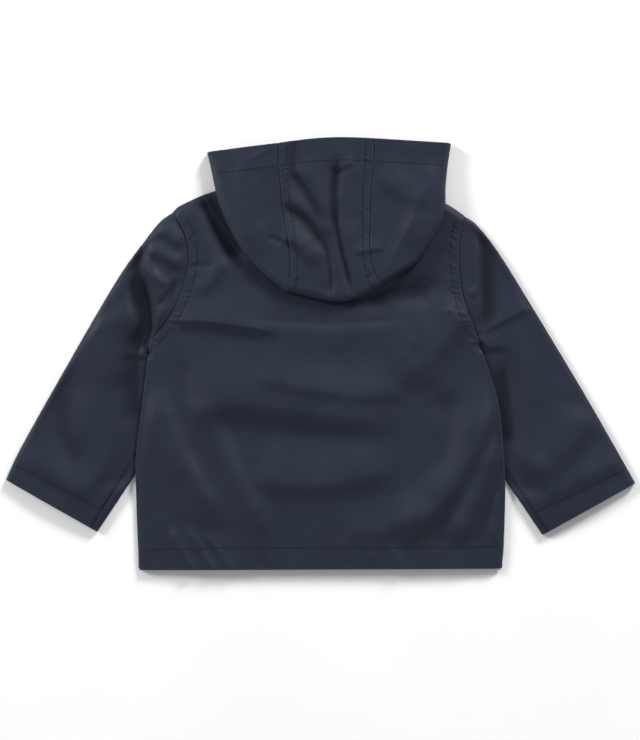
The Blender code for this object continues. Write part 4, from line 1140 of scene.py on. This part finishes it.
def face_stitching(grid, count):
    """The line across the first count columns of a hood panel, where its face edge is stitched."""
    line = []
    for column in grid[:, :count].transpose(1, 0, 2):
        reach = reach_of(column[:, :2])
        line.append([np.interp(FACE_STITCH, reach, axis) for axis in column.T])
    return np.array(line)


def face_relief(spots, seed):
    """The puckers beside the stitching of the face edge."""
    from_face = reach_of(spots)
    across = reach_of(spots.transpose(1, 0, 2)).T
    inside = from_face - FACE_TURNED
    return FACE_PUCKERS * puckers(across, inside, FACE_STITCH - FACE_TURNED, seed) * smoothstep(inside / 4)


def make_hood_side(side):
    """A side panel. Each section runs from the middle strip's seam over the rim and back to the neck."""
    sign = -1 if side == "left" else 1
    seam, rim, neck, (rim_rise, neck_rise) = read_sections(HOOD_SECTIONS[side], HOOD_ROWS)
    under_strip = smoothstep(np.linalg.norm(seam - rim[-1], axis=1) / 10)
    seam[:, 0] += sign * (GAP / 2 - 0.9 * under_strip)
    rim[-1, 0] += sign * GAP / 2
    neck[-1, 0] += sign * GAP / 2
    grids = []
    for wall in (0.0, HOOD_WALL):
        rows = []
        worn_and_highlit = []
        for a, r, n, rise_r, rise_n, strip in zip(seam, rim, neck, rim_rise, neck_rise, under_strip):
            over_length = np.linalg.norm(a - r)
            under_length = np.linalg.norm(n - r)
            over, under = hood_path(over_length, under_length, wall)
            top = r + (a - r) * over[:, None] / over_length
            low = r + (n - r) * under[:, None] / under_length
            crease = HOOD_REST * rise_r + HOOD_CREASE
            rise = rise_r + (rise_n - rise_r) * under / under_length
            rest = HOOD_REST * rise + front_floor(low, side) * (1 - rise)
            lap = LAP * strip * (1 - smoothstep((over_length - over) / LAP_REACH))
            top_z = hood_over(top, over, crease, wall) - lap
            low_z = hood_under(under, crease, rest, wall)
            rows.append(np.concatenate([lifted(top, top_z), lifted(low, low_z)]))
            worn_and_highlit.append(rim_rub_and_highlight(over, under, RIM_WEAR_AND_HIGHLIGHT[side]))
        grid = np.array(rows)
        count = len(over)
        grid[:, :count, 2] += face_relief(grid[:, :count, :2], 0.7 if side == "left" else 3.1)
        grids.append(grid)
    line = face_stitching(grids[0], count - 6)[3:]
    over, under = (grid[:, ::sign] for grid in grids)
    panel = cloth_piece(f"hood_{side}_cloth", over, under, navy_coated_cloth, worn_and_highlit=np.array(worn_and_highlit)[:, ::sign])
    return panel, sewing(f"hood_{side}_stitching", [(line, 1)], navy_thread)


def hood_seam(side, wall):
    """The hood seam of one side, from the face edge over the crown to the nape.

    It gives the seam's spots, and how deep inside the folded rim each lies, above it and then below it.
    """
    seam, rim, neck, _ = read_sections(HOOD_SECTIONS[side], HOOD_ROWS)
    over_length = np.linalg.norm(seam[-1] - rim[-1])
    under_length = np.linalg.norm(neck[-1] - rim[-1])
    over, under = hood_path(over_length, under_length, wall)
    over = over[::4]
    last = rim[-1] + (seam[-1] - rim[-1]) * over[1:, None] / over_length
    hidden = rim[-1] + (neck[-1] - rim[-1]) * under[:, None] / under_length
    painted_shades = np.linalg.norm(seam - rim[-1], axis=1)
    return np.concatenate([seam, last, hidden]), np.concatenate([painted_shades, over[1:]]), under


def make_hood_center():
    """The middle strip: its rows run from the left seam to the right one."""
    grids = []
    width = HOOD_SECTIONS["right"][0][0] - HOOD_SECTIONS["left"][0][0]
    steps = places(width, STRIP_PLACES, STRIP_PLACES, HOOD_COLUMNS_CENTER)
    share = steps / width
    from_seam = np.minimum(steps, width - steps)
    for wall in (0.0, HOOD_WALL):
        left, depth, under = hood_seam("left", wall)
        right, right_depth, right_under = hood_seam("right", wall)
        left[:, 0] += GAP / 2
        right[:, 0] -= GAP / 2
        u = share[None, :, None]
        spots = left[:, None] * (1 - u) + right[:, None] * u
        depth = depth[:, None] * (1 - share) + right_depth[:, None] * share
        under = under[:, None] * (1 - share) + right_under[:, None] * share
        count = len(depth)
        near_face = smoothstep((spots[:count, :, 1] - FACE_EDGE_START) / FACE_EDGE_RAMP)
        edge = FACE_EDGE_BOW * near_face * np.sin(np.pi * share)
        crown = CROWN_BOW * np.sin(np.pi * share**CROWN_SKEW)
        spots[:count, :, 1] += edge - crown * smoothstep((CROWN_BOW_REACH - depth) / CROWN_BOW_REACH)
        spots[count:, :, 1] -= crown * smoothstep((CROWN_BOW_REACH - under) / CROWN_BOW_REACH)
        crease = HOOD_REST + HOOD_CREASE
        groove = STITCH_GROOVE * np.exp(-(((from_seam - HOOD_SEAM_STITCH) / STITCH_GROOVE_HALF) ** 2))
        reach = reach_of(spots[:count])
        ladder = puckers(reach, from_seam[None, :], HOOD_SEAM_STITCH, 1.3 + 2.0 * (share > 0.5))
        top_z = hood_over(spots[:count], depth, crease, wall) + face_relief(spots[:count], 5.2)
        top_z += (LADDER_PUCKERS * ladder - groove) * smoothstep(depth / 6)
        low_z = hood_under(under, crease, HOOD_REST, wall)
        grids.append(lifted(spots, np.concatenate([top_z, low_z])))
    worn_and_highlit = rim_rub_and_highlight(depth, under, RIM_WEAR_AND_HIGHLIGHT["center"])
    on_top = np.arange(len(grids[0]))[:, None] < count
    # Painted shade in the middle strip's troughs, on its top layer.
    folded = painted_shade(grids[0][..., :2], HOOD_FOLDS, HOOD_SHALLOW) * on_top
    lines = [(face_stitching(grids[0][:count], len(share))[2:-2], 1)]
    for place in (HOOD_SEAM_STITCH, width - HOOD_SEAM_STITCH):
        column = int(np.abs(steps - place).argmin())
        lines.append((grids[0][2:count - 3, column], 1))
    panel = cloth_piece("hood_center_cloth", *grids, navy_coated_cloth, depth=folded, worn_and_highlit=worn_and_highlit)
    return panel, sewing("hood_center_stitching", lines, navy_thread)


HOOD_CUTS = {
    "left": ((0.185, 0.250), 0.0142), "right": ((0.190, 0.250), 0.0177), "center": ((0.095, 0.260), 0.0245),
}
for side in HOOD_CUTS:
    panel, stitches = make_hood_center() if side == "center" else make_hood_side(side)
    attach(panel, "root")
    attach(stitches, "root")
    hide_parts("hood_" + side)
    flat, area = HOOD_CUTS[side]


# THE TABLE AND THE LIGHT. A plain pale table under a large soft lamp from the upper right and a weaker one
# from the upper left, in a white room. A dim low lamp at the hem end opens the shadow of the hood.
FLOOR_BELOW = 0.0002
FLOOR_HALF = 3.0
ZENITH = (0.30, 0.305, 0.32)
HORIZON = (1.0, 1.0, 1.0)
TABLE_DARK = (0.84, 0.84, 0.84)
TABLE_LIGHT = (0.87, 0.87, 0.87)
ROOM_STRENGTH = 0.66
LAMPS = (
    # name, azimuth from +Y towards +X, elevation, distance, width, power
    ("right_lamp", 32.0, 24.0, 4.5, 1.2, 236.0),
    ("left_lamp", -62.0, 24.0, 4.5, 1.2, 170.0),
    ("hem_lamp", 176.0, 12.0, 4.5, 1.2, 30.0),
)

paint = Finish("pale_table")
pale_table = paint.set(
    Base_Color=paint.mix(paint.span(paint.noise(300.0, 3.0), 0.0, 1.0), TABLE_DARK, TABLE_LIGHT),
    Roughness=0.9,
    Specular_IOR_Level=0.2,
)
corners = np.array([(-1, -1, 0), (1, -1, 0), (1, 1, 0), (-1, 1, 0)]) * FLOOR_HALF / MM
corners[:, 2] = -FLOOR_BELOW / MM
floor = mesh_from("floor", corners, [(0, 1, 2, 3)], pale_table)

world = bpy.data.worlds.new("white_room")
world.use_nodes = True
nodes = world.node_tree.nodes
links = world.node_tree.links
direction = nodes.new("ShaderNodeTexCoord")
height = nodes.new("ShaderNodeSeparateXYZ")
ramp = nodes.new("ShaderNodeValToRGB")
ramp.color_ramp.elements[0].color = (*HORIZON, 1.0)
ramp.color_ramp.elements[0].position = 0.35
ramp.color_ramp.elements[1].color = (*ZENITH, 1.0)
ramp.color_ramp.elements[1].position = 0.95
links.new(direction.outputs["Generated"], height.inputs["Vector"])
links.new(height.outputs["Z"], ramp.inputs["Fac"])
links.new(ramp.outputs["Color"], nodes["Background"].inputs["Color"])
nodes["Background"].inputs["Strength"].default_value = ROOM_STRENGTH
bpy.context.scene.world = world
bpy.context.scene.view_settings.view_transform = "Standard"

for name, azimuth, elevation, distance, width, power in LAMPS:
    lamp = bpy.data.lights.new(name, "AREA")
    lamp.shape = "DISK"
    lamp.size = width
    lamp.energy = power
    turned, raised = np.radians([azimuth, elevation])
    way = np.array([np.sin(turned) * np.cos(raised), np.cos(turned) * np.cos(raised), np.sin(raised)])
    holder = bpy.data.objects.new(name, lamp)
    holder.location = way * distance
    holder.rotation_euler = (np.pi / 2 - raised, 0, np.pi - turned)
    bpy.context.scene.collection.objects.link(holder)
